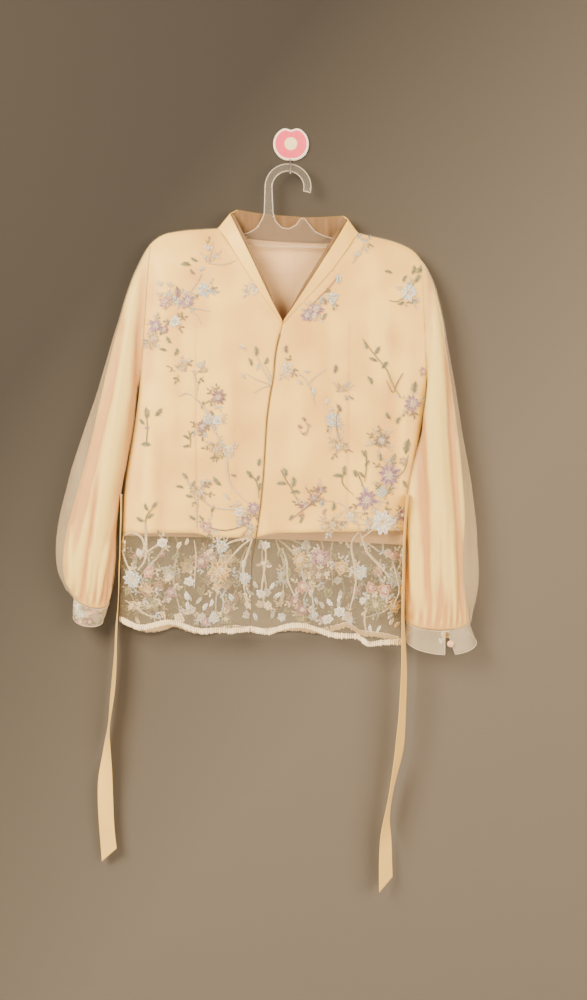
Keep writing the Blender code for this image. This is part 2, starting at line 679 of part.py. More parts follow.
def build_cuffs():
    for side, rows in CUFFS.items():
        split = CUFF_SPLIT_ANGLE[side] / 360.0
        grid = []
        for number, row in enumerate(rows):
            gap = (CUFF_SPLIT_TOP + CUFF_SPLIT_FLARE * number / (len(rows) - 1)) / 360.0
            spans = [k / SLEEVE_COLUMNS for k in range(SLEEVE_COLUMNS + 1)]
            ring = tube_ring(row + (CUFF_FOLD,), [split + gap + (1.0 - 2.0 * gap) * k for k in spans], 0.0)
            grid.append(ring)
        shell(f"cuff_{side}", grid, tube_normals(grid, False), CUFF, material("organza", 0.5))
        build_button(side, grid)


def build_button(side, cuff):
    """A domed button, seated on the cuff beside its split."""
    front = -1 if side == "right" else 1
    x, z = BUTTON_PLACES[side]
    near = [p.y * front for ring in cuff for p in ring
            if abs(p.x - x) < BUTTON_SEAT_REACH and abs(p.z - z) < BUTTON_SEAT_REACH
            and (p.y - cuff_middle(cuff)) * front > 0]
    seat = max(near) + CUFF[1] + SEAM
    verts = []
    for share, height in BUTTON_PROFILE:
        for k in range(BUTTON_SIDES):
            angle = math.tau * k / BUTTON_SIDES
            radius = BUTTON_RADIUS * share
            place = (x + radius * math.cos(angle), front * (seat + BUTTON_HEIGHT * height),
                     z + radius * math.sin(angle))
            verts.append(Vector(place) * MM)
    rings = len(BUTTON_PROFILE)
    faces = [list(range(BUTTON_SIDES)), [(rings - 1) * BUTTON_SIDES + k for k in range(BUTTON_SIDES)]]
    for r in range(rings - 1):
        for k in range(BUTTON_SIDES):
            after = (k + 1) % BUTTON_SIDES
            low, high = r * BUTTON_SIDES, (r + 1) * BUTTON_SIDES
            faces.append([low + k, low + after, high + after, high + k])
    solid(f"cuff_button_{side}", verts, faces, material("pearl", 0.25))


def cuff_middle(cuff):
    return sum(p.y for p in cuff[0]) / len(cuff[0])


def build_ties():
    for side, rows in TIES.items():
        grid = []
        for number, (z, left, right, y) in enumerate(rows):
            hidden = math.sqrt(max(0.0, TIE_WIDTH**2 - (right - left) ** 2))
            lean = hidden / 2 * (1 if side == "right" else -1)
            slant = TIE_SLANT if number == len(rows) - 1 else 0.0
            grid.append([
                Vector((left, y - lean, z - slant)), Vector(((left + right) / 2, y, z - slant / 2)),
                Vector((right, y + lean, z)),
            ])
        normals = normals_of(grid, False, lambda p, r: Vector((0.0, -1.0, 0.0)))
        shell(f"tie_{side}", grid, normals, TIE, material("tie"))


def plate(name, outline, front_y, back_y, finish):
    """A flat outline in x and z, thickened from one depth to another."""
    count = len(outline)
    verts = [Vector((x, y, z)) * MM for y in (front_y, back_y) for x, z in outline]
    faces = [list(range(count)), list(range(2 * count - 1, count - 1, -1))]
    faces += [[k, k + count, (k + 1) % count + count, (k + 1) % count] for k in range(count)]
    return solid(name, verts, faces, finish)


def arm_edge(arm, depth):
    return [(x, at(SHOULDER, x)[0] - drop - depth) for x, drop in arm]


def build_hanger():
    hook_x, hook_z = HOOK_CENTRE

    def arc(radius, start, stop, steps):
        angles = [math.radians(start + (stop - start) * k / steps) for k in range(steps + 1)]
        return [(hook_x + radius * math.cos(a), hook_z + radius * math.sin(a)) for a in angles]

    outline = arm_edge(HANGER_LEFT_ARM, 0.0)
    outline += HANGER_NECK_LEFT
    outline += arc(HOOK_OUTER_RADIUS, 180.0, HOOK_TIP_ANGLE, 16)
    outline += arc(HOOK_INNER_RADIUS, HOOK_TIP_ANGLE, 180.0, 14)
    outline += HANGER_NECK_RIGHT
    outline += arm_edge(HANGER_RIGHT_ARM, 0.0)
    outline += arm_edge(HANGER_RIGHT_ARM[::-1], HANGER_ARM_HEIGHT)
    outline += HANGER_BAR_UNDERSIDE
    outline += arm_edge(HANGER_LEFT_ARM[::-1], HANGER_ARM_HEIGHT)
    plate("hanger", outline, SEAM_PLANE_Y - HANGER_HALF_THICKNESS, SEAM_PLANE_Y + HANGER_HALF_THICKNESS,
          material("clear_plastic", 0.15))


def build_wall_hook():
    rings = []
    for inset, depth in ((0.0, 0.0), (0.0, PAD_THICKNESS - PAD_BEVEL), (PAD_BEVEL, PAD_THICKNESS)):
        ring = []
        for k in range(PAD_POINTS):
            degrees = 360.0 * k / PAD_POINTS
            dimple = sum(
                depth_in * math.exp(-(((degrees - middle) / width) ** 2))
                for middle, depth_in, width in PAD_DIMPLES
            )
            angle = math.radians(degrees)
            x = (PAD_HALF_WIDTH - inset - dimple) * math.cos(angle)
            z = (PAD_HALF_HEIGHT - inset - dimple) * math.sin(angle)
            ring.append(Vector((x, -depth, z)) * MM)
        rings.append(ring)
    verts = [p for ring in rings for p in ring]
    faces = [list(range(PAD_POINTS)), list(range(3 * PAD_POINTS - 1, 2 * PAD_POINTS - 1, -1))]
    for r in range(2):
        for k in range(PAD_POINTS):
            after = (k + 1) % PAD_POINTS
            base = r * PAD_POINTS
            faces.append([base + k, base + after, base + PAD_POINTS + after, base + PAD_POINTS + k])
    solid("wall_pad", verts, faces, material("pink_plastic", 0.3))

    curve = bpy.data.curves.new("wall_wire", "CURVE")
    curve.dimensions = "3D"
    curve.bevel_depth = WIRE_RADIUS * MM
    curve.bevel_resolution = 1
    curve.use_fill_caps = True
    line = curve.splines.new("POLY")
    line.points.add(len(WIRE_ROUTE) - 1)
    for point, (y, z) in zip(line.points, WIRE_ROUTE):
        point.co = (WIRE_X * MM, y * MM, z * MM, 1.0)
    curve.materials.append(material("steel", 0.3, 1.0))
    wire = bpy.data.objects.new("wall_wire", curve)
    bpy.context.scene.collection.objects.link(wire)


def build():
    clear_scene()
    build_collar(build_body())
    build_sleeves()
    build_cuffs()
    build_ties()
    build_hanger()
    build_wall_hook()


build()
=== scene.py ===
"""Kebaya blouse on a clear hanger: the looks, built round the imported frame.

Units are metres, written as millimetres times MM. +Z is up, +X is to the right as seen from the
front, and the blouse's front faces -Y. Places on the cloth are read from the photograph in pixels.
"""

import math
import random

import bmesh
import bpy
from mathutils import Matrix, Vector, noise
from mathutils.bvhtree import BVHTree
from mathutils.kdtree import KDTree


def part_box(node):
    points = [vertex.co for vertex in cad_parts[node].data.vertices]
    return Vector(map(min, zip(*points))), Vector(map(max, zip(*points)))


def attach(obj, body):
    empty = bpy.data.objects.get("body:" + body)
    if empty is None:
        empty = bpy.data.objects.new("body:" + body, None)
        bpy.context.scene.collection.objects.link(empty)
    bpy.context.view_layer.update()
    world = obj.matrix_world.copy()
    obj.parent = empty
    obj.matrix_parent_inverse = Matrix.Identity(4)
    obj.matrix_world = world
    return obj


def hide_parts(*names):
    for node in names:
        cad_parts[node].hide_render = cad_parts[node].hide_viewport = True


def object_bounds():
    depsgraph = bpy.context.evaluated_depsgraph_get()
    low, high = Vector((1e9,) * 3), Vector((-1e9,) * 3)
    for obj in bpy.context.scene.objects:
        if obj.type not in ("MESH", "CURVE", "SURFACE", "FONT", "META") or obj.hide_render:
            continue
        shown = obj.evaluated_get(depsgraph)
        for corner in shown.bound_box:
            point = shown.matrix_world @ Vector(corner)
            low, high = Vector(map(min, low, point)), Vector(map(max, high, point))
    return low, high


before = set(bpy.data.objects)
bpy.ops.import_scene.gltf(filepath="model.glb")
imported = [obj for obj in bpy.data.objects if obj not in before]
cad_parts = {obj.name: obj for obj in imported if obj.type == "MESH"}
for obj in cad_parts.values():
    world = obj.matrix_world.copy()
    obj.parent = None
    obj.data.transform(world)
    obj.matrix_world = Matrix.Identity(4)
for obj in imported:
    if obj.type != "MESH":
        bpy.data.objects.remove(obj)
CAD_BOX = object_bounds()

bl_info = {
    "name": "Kebaya Blouse",
    "version": (1, 0, 0),
    "blender": (4, 5, 0),
    "location": "View3D > Sidebar > Blouse",
    "description": "Dresses the blouse's frame in lining, net, embroidery, hanger and wall hook",
    "category": "Object",
}

MM = 0.001
MERGE = 0.00002
ROOT = "root"

# The photograph: its size, the pixel that shows the frame's origin, and one pixel's real size.
PHOTO_SIZE = (587, 1000)
PHOTO_ORIGIN = (291.0, 141.0)
PIXEL = 1.5 * MM
SEAM_Y = sum(corner.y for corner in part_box("hanger")) / 2

# Walls of the frame's cloth in mm, by the start of the node's name.
WALLS = {
    "lining": 1.0, "net": 1.0, "sleeve_lining": 1.0, "sleeve_net": 1.0, "hem_cord": 2.0, "collar": 1.6,
    "neck_facing": 1.1, "cuff": 1.2, "tie": 1.2,
}
RIM_MARGIN = 1.03
CORNER_TURN = math.radians(28)

# Cloth left to hang: each fold's top and bottom as photo x, y, then half width and height in mm.
FRONT_FOLDS = [
    (196, 318, 198, 548, 2.6, -0.9), (349, 318, 346, 548, 2.6, -0.9),
    (166, 250, 158, 420, 11, 1.3), (182, 300, 176, 500, 9, -0.9), (214, 255, 224, 470, 13, 0.9),
    (238, 340, 236, 520, 8, -0.8), (152, 380, 147, 560, 8, 1.6), (164, 430, 160, 600, 9, -1.3),
    (300, 350, 296, 520, 12, 1.0), (322, 300, 331, 460, 8, -0.7), (372, 250, 382, 400, 12, 1.2),
    (392, 300, 388, 470, 8, -1.2), (406, 330, 400, 520, 7, 1.5), (364, 420, 368, 600, 9, 1.1),
    (160, 262, 236, 292, 9, -0.6), (410, 275, 352, 300, 9, -0.6), (262, 460, 262, 640, 9, 1.0),
    (140, 520, 138, 660, 7, 1.6), (186, 520, 188, 660, 8, 1.5), (222, 530, 222, 660, 7, -1.3),
    (300, 530, 298, 660, 8, 1.4), (336, 540, 338, 670, 8, -1.3), (386, 530, 384, 670, 8, 1.6),
]
BACK_FOLDS = [
    (170, 250, 162, 430, 11, 1.2), (214, 320, 210, 560, 9, -1.1), (250, 260, 252, 520, 13, 0.9),
    (291, 262, 292, 640, 2.4, -0.8), (330, 300, 338, 560, 10, 1.2), (376, 330, 372, 560, 9, -1.1),
    (396, 320, 390, 640, 8, 1.4), (140, 400, 138, 650, 8, 1.5), (240, 520, 238, 660, 9, 1.4),
    (312, 520, 316, 660, 9, 1.3), (184, 500, 182, 660, 8, -1.2), (360, 520, 358, 660, 8, -1.2),
]
LEFT_SLEEVE_FOLDS = [
    (138, 268, 92, 592, 9, 4.0), (146, 300, 112, 590, 6, -3.6), (128, 320, 76, 560, 7, -3.4),
    (144, 380, 120, 560, 6, 2.6), (112, 400, 74, 588, 6, 3.0), (104, 360, 64, 560, 6, -2.4),
    (147, 262, 136, 420, 5, -2.4), (100, 470, 84, 606, 4, -3.4), (124, 470, 104, 606, 4.5, -3.0),
    (92, 540, 90, 606, 3, 2.2), (108, 540, 98, 606, 3, 2.2), (72, 520, 72, 600, 3, 2.0),
]
RIGHT_SLEEVE_FOLDS = [
    (430, 290, 446, 604, 11, 5.0), (420, 350, 428, 604, 7, -4.4), (412, 430, 414, 604, 5, 3.0),
    (408, 470, 408, 606, 4, -3.6), (444, 330, 462, 590, 6, -3.4), (452, 400, 470, 590, 5, 2.6),
    (428, 266, 432, 420, 6, -2.4), (440, 500, 440, 620, 3.5, -2.6), (450, 520, 454, 622, 3.5, 2.4),
    (432, 530, 432, 620, 3, 2.0), (420, 540, 421, 614, 3, 2.2), (458, 540, 460, 616, 3, -2.4),
]
FACING_FOLDS = [(x, 196, x + 3, 268, 3.4 + x % 3, -0.5 - 1.3 * (x % 2)) for x in range(236, 352, 7)]
# How sharply a fold ends, and how much its height paints the satin's colour: painted light on its ridges, painted
# shade in its creases.
FOLD_FADE = 0.6
FOLD_TONE = 0.24
# Points read along each edge of a rim, how far a rim reaches for its seam, and the gap to the wall.
RIM_STEPS = 8
SEAM_REACH = 5 * MM
WALL_CLEAR = 0.4 * MM
# How far a sleeve's inner side leans in, and the photo's y where that starts and ends.
SLEEVE_LEAN = (5.5 * MM, 340, 600)
# The neck's seam ends at this photo y.
NECK_FOOT = 340
# The front edge starts at this photo y and lies to the right of this photo x.
FRONT_EDGE = (328, 245)
# Cloth lies still at its seams and swells freely this far from them.
SEAM_FADE = 14 * MM
BODY_SWELL = 1.3
SLEEVE_SWELL = 0.8
SWELL_LENGTH = 42 * MM
# The gathers at a sleeve's foot.
GATHER_FOOT = 14 * MM
GATHER_HEIGHT = 70 * MM
GATHER_DEPTH = 1.5 * MM
GATHER_PITCH = 11 * MM
GATHER_SLANT = 20 * MM / 9
CORD_THICKNESS = 1.2 * MM
# Where a stitch off the cloth's edge is looked for: this far from the seam plane.
BODY_DEPTH = 18 * MM
# Body panels, with how often each one's grid is divided, and the collar's parts in sewing order.
PANEL_LEVELS = {"front_left": 3, "front_right": 3, "back": 2}
COLLAR_PARTS = ("front_left", "back", "front_right")

# Embroidery threads: the darker tone at a petal's heart, which is painted shade, and the thread's own lighter tone
# at its tip.
THREADS = {
    "cream": ("#A98C5C", "#FFFAE6"), "white": ("#A9ABA8", "#FFFFFA"), "silver": ("#828A8E", "#E9EDEC"),
    "lilac": ("#6F505C", "#C8A2AE"), "mauve": ("#6B4C4A", "#B8938A"), "sage": ("#5C5A3A", "#A6A17A"),
    "gold": ("#8E6F3C", "#DEC591"), "pink": ("#8F6054", "#DDAE98"), "taupe": ("#65543F", "#A5927A"),
}
THREAD_NAMES = tuple(THREADS)

# Flowers: photo x, y, radius in pixels, kind, thread.
FLOWERS = [
    (205, 292, 8, "blossom", "silver"), (188, 303, 8, "lace", "lilac"), (166, 304, 8, "blossom", "pink"),
    (176, 323, 7, "blossom", "white"), (157, 327, 7, "lace", "lilac"), (165, 331, 5, "blossom", "mauve"),
    (154, 340, 7, "lace", "gold"), (151, 350, 4, "bud", "gold"), (182, 371, 8, "fan", "gold"),
    (204, 373, 6, "fan", "gold"), (219, 398, 8, "lace", "mauve"), (161, 287, 5, "bud", "cream"),
    (170, 288, 5, "bud", "cream"), (255, 288, 8, "blossom", "cream"), (203, 272, 4, "bud", "silver"),
    (209, 251, 7, "fan", "cream"), (363, 243, 6, "fan", "cream"), (357, 257, 5, "fan", "cream"),
    (332, 299, 7, "blossom", "silver"), (316, 311, 8, "lace", "lilac"), (307, 317, 6, "blossom", "lilac"),
    (408, 294, 9, "lace", "white"), (423, 372, 5, "blossom", "pink"), (412, 404, 9, "lace", "lilac"),
    (287, 369, 7, "blossom", "cream"), (306, 374, 4, "bud", "cream"), (341, 392, 7, "fan", "gold"),
    (209, 419, 6, "blossom", "silver"), (218, 421, 6, "blossom", "white"), (203, 427, 7, "lace", "mauve"),
    (217, 449, 8, "blossom", "gold"), (229, 453, 7, "blossom", "cream"), (234, 477, 4, "bud", "mauve"),
    (200, 493, 9, "blossom", "gold"), (239, 512, 6, "blossom", "white"), (254, 508, 7, "lace", "lilac"),
    (208, 527, 7, "blossom", "pink"), (246, 521, 6, "lace", "mauve"), (250, 532, 6, "blossom", "gold"),
    (148, 430, 4, "bud", "pink"), (332, 420, 8, "lace", "silver"), (303, 421, 4, "bud", "mauve"),
    (309, 427, 3, "bud", "pink"), (299, 429, 4, "bud", "pink"), (304, 435, 3, "bud", "pink"),
    (339, 446, 8, "blossom", "gold"), (381, 441, 9, "lace", "taupe"), (321, 492, 7, "fan", "mauve"),
    (313, 499, 7, "fan", "mauve"), (305, 507, 7, "fan", "mauve"),
    (388, 475, 12, "lace", "lilac"), (366, 500, 11, "lace", "lilac"), (381, 493, 6, "blossom", "silver"),
    (382, 522, 13, "lace", "white"), (402, 515, 6, "blossom", "lilac"), (403, 461, 5, "blossom", "gold"),
    (332, 525, 9, "blossom", "gold"), (349, 517, 6, "blossom", "cream"), (311, 500, 5, "bud", "pink"),
    (163, 542, 6, "blossom", "white"), (140, 552, 4, "blossom", "white"), (133, 579, 10, "lace", "silver"),
    (136, 562, 5, "fan", "sage"), (150, 572, 7, "blossom", "pink"), (147, 591, 9, "fan", "gold"),
    (172, 591, 6, "blossom", "lilac"), (171, 579, 6, "fan", "cream"), (202, 561, 8, "lace", "mauve"),
    (190, 581, 5, "blossom", "white"), (220, 571, 13, "lace", "gold"), (218, 588, 7, "fan", "gold"),
    (222, 546, 7, "blossom", "silver"), (245, 577, 7, "lace", "silver"), (215, 617, 6, "blossom", "silver"),
    (206, 621, 5, "blossom", "lilac"), (227, 618, 6, "blossom", "sage"), (151, 606, 9, "fan", "sage"),
    (266, 545, 5, "blossom", "white"), (262, 564, 4, "bud", "cream"), (269, 567, 4, "bud", "cream"),
    (261, 593, 5, "blossom", "white"), (268, 605, 5, "blossom", "cream"), (300, 559, 9, "lace", "gold"),
    (320, 557, 9, "lace", "lilac"), (341, 567, 8, "blossom", "gold"), (318, 575, 7, "blossom", "taupe"),
    (303, 586, 7, "lace", "pink"), (295, 600, 6, "blossom", "mauve"), (302, 609, 6, "lace", "mauve"),
    (339, 611, 6, "blossom", "white"), (327, 618, 6, "blossom", "white"), (360, 572, 8, "lace", "silver"),
    (370, 587, 6, "blossom", "pink"), (362, 600, 4, "blossom", "white"), (390, 557, 9, "fan", "pink"),
    (384, 589, 8, "blossom", "pink"), (375, 604, 9, "lace", "sage"), (394, 606, 7, "blossom", "gold"),
    (180, 617, 6, "blossom", "cream"), (248, 606, 6, "fan", "cream"), (282, 616, 5, "blossom", "silver"),
]

# Leaves: photo x, y of the leaf's foot, length in pixels, direction in degrees up from the right, thread.
LEAVES = [
    (192, 267, 11, 175, "sage"), (199, 263, 9, 150, "sage"), (196, 276, 8, 130, "taupe"),
    (177, 302, 15, 90, "mauve"), (172, 345, 9, 120, "sage"), (168, 352, 8, 165, "sage"),
    (175, 357, 9, 70, "sage"), (202, 410, 9, 75, "sage"), (256, 358, 11, 90, "sage"),
    (252, 368, 10, 110, "sage"), (264, 366, 9, 65, "sage"), (247, 352, 10, 145, "cream"),
    (246, 380, 8, 120, "cream"), (257, 372, 9, 80, "cream"), (337, 286, 11, 90, "silver"),
    (322, 322, 9, 60, "sage"), (392, 275, 9, 165, "sage"), (402, 284, 9, 60, "sage"),
    (411, 276, 11, 75, "sage"), (416, 274, 15, 50, "sage"), (415, 284, 10, 60, "sage"),
    (404, 303, 8, 200, "sage"), (366, 351, 9, 110, "sage"), (374, 356, 10, 60, "sage"),
    (377, 363, 10, 155, "sage"), (381, 370, 10, 50, "sage"), (372, 384, 9, 125, "sage"),
    (413, 395, 14, 80, "sage"), (334, 375, 10, 80, "taupe"), (287, 355, 9, 90, "taupe"),
    (325, 406, 8, 60, "white"), (315, 396, 8, 110, "white"), (302, 386, 8, 130, "cream"),
    (147, 420, 13, 92, "sage"), (156, 417, 11, 50, "sage"), (145, 425, 8, 130, "sage"),
    (152, 445, 11, 178, "sage"), (190, 440, 8, 150, "sage"), (190, 436, 8, 40, "sage"),
    (191, 446, 8, 190, "sage"), (213, 418, 8, 110, "taupe"), (222, 486, 13, 130, "sage"),
    (230, 500, 9, 120, "cream"), (188, 480, 9, 125, "sage"), (185, 488, 9, 170, "sage"),
    (191, 488, 9, 60, "sage"), (194, 497, 8, 165, "sage"), (197, 520, 9, 145, "sage"),
    (212, 513, 9, 70, "sage"), (252, 479, 10, 120, "sage"), (259, 467, 9, 80, "sage"),
    (256, 482, 8, 60, "sage"), (260, 491, 9, 85, "sage"), (152, 508, 9, 50, "sage"),
    (149, 511, 9, 110, "sage"), (148, 519, 9, 40, "sage"), (145, 521, 9, 150, "sage"),
    (285, 478, 11, 100, "sage"), (287, 484, 11, 178, "sage"), (292, 488, 12, 85, "sage"),
    (290, 493, 11, 2, "sage"), (341, 413, 10, 120, "taupe"), (371, 386, 9, 110, "sage"),
    (390, 420, 9, 120, "sage"), (396, 425, 9, 60, "sage"), (405, 455, 17, 78, "sage"),
    (380, 462, 9, 95, "sage"), (392, 462, 9, 70, "sage"), (345, 476, 11, 92, "sage"),
    (344, 477, 12, 176, "sage"), (365, 458, 9, 120, "sage"), (365, 468, 9, 60, "sage"),
    (364, 478, 9, 130, "sage"), (356, 478, 9, 110, "sage"), (293, 514, 8, 240, "sage"),
    (302, 516, 8, 250, "sage"), (407, 488, 9, 120, "sage"), (405, 510, 8, 290, "taupe"),
    (332, 511, 9, 80, "sage"), (326, 508, 8, 250, "pink"), (137, 556, 8, 250, "sage"),
    (159, 556, 9, 30, "mauve"), (172, 559, 11, 40, "sage"), (170, 566, 8, 330, "sage"),
    (178, 549, 9, 60, "cream"), (186, 545, 8, 70, "cream"), (206, 552, 9, 20, "cream"),
    (189, 600, 10, 100, "white"), (190, 609, 9, 100, "white"), (204, 610, 9, 60, "white"),
    (210, 606, 9, 70, "white"), (243, 568, 10, 80, "silver"), (245, 600, 10, 90, "cream"),
    (236, 600, 10, 130, "silver"), (270, 589, 9, 60, "white"), (274, 596, 9, 30, "white"),
    (278, 557, 12, 60, "sage"), (283, 580, 13, 60, "sage"), (290, 577, 11, 110, "sage"),
    (325, 597, 12, 60, "sage"), (329, 597, 12, 110, "sage"), (333, 605, 10, 130, "white"),
    (337, 602, 9, 60, "white"), (313, 619, 9, 60, "silver"), (318, 616, 8, 140, "silver"),
    (399, 594, 9, 80, "cream"), (389, 625, 9, 60, "cream"), (394, 627, 8, 40, "cream"),
    (371, 632, 9, 100, "white"), (376, 632, 9, 60, "white"), (165, 618, 9, 110, "cream"),
    (126, 596, 10, 80, "sage"), (129, 610, 10, 60, "cream"), (257, 620, 9, 110, "silver"),
    (350, 625, 9, 80, "silver"), (232, 604, 9, 60, "sage"), (310, 596, 9, 70, "cream"),
]

# Stems: thread, half width in mm, then the photo's points that the stem runs through.
STEMS = [
    ("cream", 0.7, (209, 264), (211, 253), (213, 243)), ("cream", 0.7, (209, 262), (203, 256), (200, 252)),
    ("cream", 0.7, (209, 264), (217, 258), (222, 251)), ("cream", 0.7, (209, 265), (224, 266), (236, 262)),
    ("cream", 0.7, (202, 276), (197, 285), (193, 291)), ("cream", 0.8, (190, 309), (202, 311), (211, 313)),
    ("cream", 0.8, (191, 310), (197, 317), (202, 325)), ("cream", 0.8, (194, 373), (198, 386), (196, 399)),
    ("cream", 0.7, (180, 397), (188, 394), (196, 399)), ("cream", 0.8, (196, 399), (206, 409), (211, 418)),
    ("cream", 0.7, (272, 386), (258, 381), (246, 374)), ("cream", 0.7, (272, 386), (264, 372), (257, 357)),
    ("cream", 0.7, (272, 386), (270, 376), (265, 366)), ("cream", 0.7, (272, 386), (262, 389), (254, 394)),
    ("cream", 0.7, (352, 265), (359, 254), (364, 244)),
    ("taupe", 0.6, (337, 279), (328, 290), (319, 299), (306, 312)),
    ("sage", 0.6, (388, 302), (396, 303), (404, 298), (412, 286), (420, 270)),
    ("sage", 0.7, (362, 340), (370, 351), (378, 361), (386, 371), (393, 387), (400, 398)),
    ("taupe", 0.7, (402, 374), (396, 385), (392, 393), (386, 382)),
    ("cream", 0.7, (288, 373), (302, 377), (311, 391), (314, 405)),
    ("cream", 0.6, (307, 386), (316, 377), (326, 370)),
    ("cream", 0.9, (198, 400), (210, 417), (216, 432), (226, 454), (228, 472), (231, 484), (240, 495),
     (252, 506)),
    ("sage", 0.7, (147, 444), (148, 428), (147, 412)), ("sage", 0.6, (189, 431), (191, 438), (191, 448)),
    ("cream", 0.8, (183, 474), (189, 482), (195, 490), (198, 502), (197, 512), (197, 528)),
    ("cream", 0.8, (203, 500), (214, 507), (228, 509), (250, 508)),
    ("taupe", 0.7, (208, 527), (226, 530), (247, 525)),
    ("sage", 0.7, (247, 472), (254, 478), (258, 486), (259, 498)),
    ("sage", 0.8, (147, 534), (146, 524), (148, 515), (156, 505)),
    ("sage", 0.7, (281, 470), (286, 480), (291, 488), (297, 500)),
    ("pink", 0.6, (303, 420), (308, 427), (305, 436), (299, 430)),
    ("taupe", 0.7, (339, 409), (336, 420), (338, 440)),
    ("sage", 0.8, (365, 450), (366, 464), (364, 482)), ("sage", 0.7, (355, 470), (360, 480), (364, 490)),
    ("sage", 0.7, (344, 470), (342, 483), (353, 495)),
    ("mauve", 0.8, (325, 486), (318, 497), (305, 508), (290, 520)),
    ("cream", 0.6, (315, 500), (329, 501), (341, 504), (354, 515), (361, 538)),
    ("sage", 0.7, (408, 455), (404, 470), (392, 482), (384, 500)),
    ("cream", 0.9, (402, 508), (388, 521), (372, 530), (361, 538)),
    ("cream", 1.4, (146, 522), (147, 541), (146, 559), (139, 570)),
    ("cream", 1.1, (148, 552), (155, 547), (160, 544)),
    ("cream", 1.2, (124, 535), (133, 533), (142, 537), (145, 547), (141, 559)),
    ("cream", 1.0, (124, 535), (122, 548), (127, 563), (133, 575)),
    ("taupe", 0.7, (162, 612), (166, 600), (171, 590), (181, 575)),
    ("cream", 0.8, (195, 540), (197, 556), (196, 570), (195, 587)),
    ("cream", 1.1, (253, 538), (242, 539), (231, 542), (222, 548)),
    ("cream", 1.1, (253, 538), (243, 545), (236, 552), (229, 560)),
    ("cream", 1.2, (253, 538), (249, 550), (244, 567), (245, 590)),
    ("cream", 1.2, (245, 592), (247, 600), (247, 608)),
    ("cream", 1.2, (176, 622), (181, 614), (188, 610), (194, 617)),
    ("cream", 1.1, (358, 532), (351, 544), (354, 566), (355, 585), (349, 610)),
    ("cream", 1.4, (361, 536), (367, 552), (379, 565), (389, 577)),
    ("taupe", 0.8, (329, 566), (330, 574), (325, 582), (316, 590)),
    ("pink", 0.8, (321, 540), (323, 549), (320, 558)), ("cream", 0.9, (365, 608), (364, 620), (366, 632)),
    ("cream", 1.0, (262, 540), (266, 552), (265, 568), (262, 590), (266, 606)),
    ("cream", 1.0, (282, 548), (287, 562), (288, 580), (295, 596)),
    ("silver", 0.9, (301, 566), (304, 580), (312, 596), (313, 617)),
    ("cream", 1.0, (392, 561), (396, 574), (399, 590), (394, 603)),
    ("silver", 0.9, (220, 590), (224, 600), (222, 614)),
    ("cream", 0.9, (126, 600), (136, 606), (148, 614), (162, 618)),
    ("sage", 0.8, (341, 574), (344, 590), (340, 604)),
]

# Kinds of flower: petals, half a petal's width as a share of its length, spread in degrees, petals of an
# inner ring.
FLOWER_KINDS = {
    "blossom": (6, 0.36, 360, 5), "lace": (10, 0.24, 360, 8),
    "fan": (6, 0.16, 160, 3), "bud": (3, 0.24, 90, 0),
}
# Lace gathered at the cuffs: flowers and leaves in the columns of the body's.
CUFF_FLOWERS = {
    "left": [(80, 612, 7, "lace", "silver"), (88, 606, 5, "lace", "mauve"), (77, 603, 5, "blossom", "white"),
             (95, 611, 4, "blossom", "pink"), (87, 616, 5, "fan", "cream"), (97, 605, 5, "lace", "silver"),
             (91, 621, 5, "lace", "mauve"), (82, 621, 4, "blossom", "pink"), (84, 610, 5, "fan", "sage"),
             (78, 617, 4, "lace", "taupe"), (101, 609, 4, "fan", "gold")],
    "right": [(444, 628, 4, "lace", "cream")],
}
CUFF_LEAVES = {
    "left": [(98, 614, 7, 20, "sage"), (92, 619, 7, 320, "sage"), (84, 600, 8, 60, "cream")],
    "right": [(441, 636, 9, 75, "cream"), (443, 642, 9, 85, "cream"), (446, 638, 8, 100, "gold"),
              (440, 643, 7, 110, "white"), (445, 632, 7, 60, "white")],
}
# Threads of the small sprays round a flower.
SPRAYS = ("cream", "taupe", "cream", "sage", "silver")
# The lace at the hem starts at this photo y and runs on round the back, mirrored about this photo x.
LACE_TOP = 530
BODY_CENTRE = 264
SEED = 11
# Spacing of the points read along the hem and along a row of seam stitches.
HEM_STEP = 2 * MM
SEAM_STEP = 4 * MM
PETAL_ROWS = 4
LEAF_ROWS = 6
# A flower of more than this radius has sprays and a ring of beads; a spray's stem is this wide in mm.
LARGE_FLOWER = 8 * MM
SPRAY_STEM = 0.35
# Half a stitch's length as a share of the spacing.
STITCH_SHARE = 0.42
REPEAT_INPUTS = ("Geometry", "Size", "Pitch", "Seed", "Material")
# Scale of a wave texture times the length of one of its waves.
WAVE = math.tau / 20
# Scale of the satin's weave times the spacing of its threads: about twice as coarse as real, to show.
WEAVE = 0.16
# Scales of the noise that clouds the satin, its reverse, the net, the plastic and the threads.
SATIN_CLOUD, REVERSE_CLOUD, NET_CLOUD, FLOW, FUZZ = 9.0, 24.0, 14.0, 60.0, 420.0

# Rows of stitching on the cloth: its node, then the photo's points that the row runs through.
SEAM_ROWS = [
    ("net_front_left", (197, 322), (196, 430), (198, 530)),
    ("net_front_right", (349, 322), (348, 430), (346, 535)),
    ("lining_back", (295, 246), (294, 265), (293, 300)), ("lining_back", (262, 273), (285, 274), (312, 273)),
]

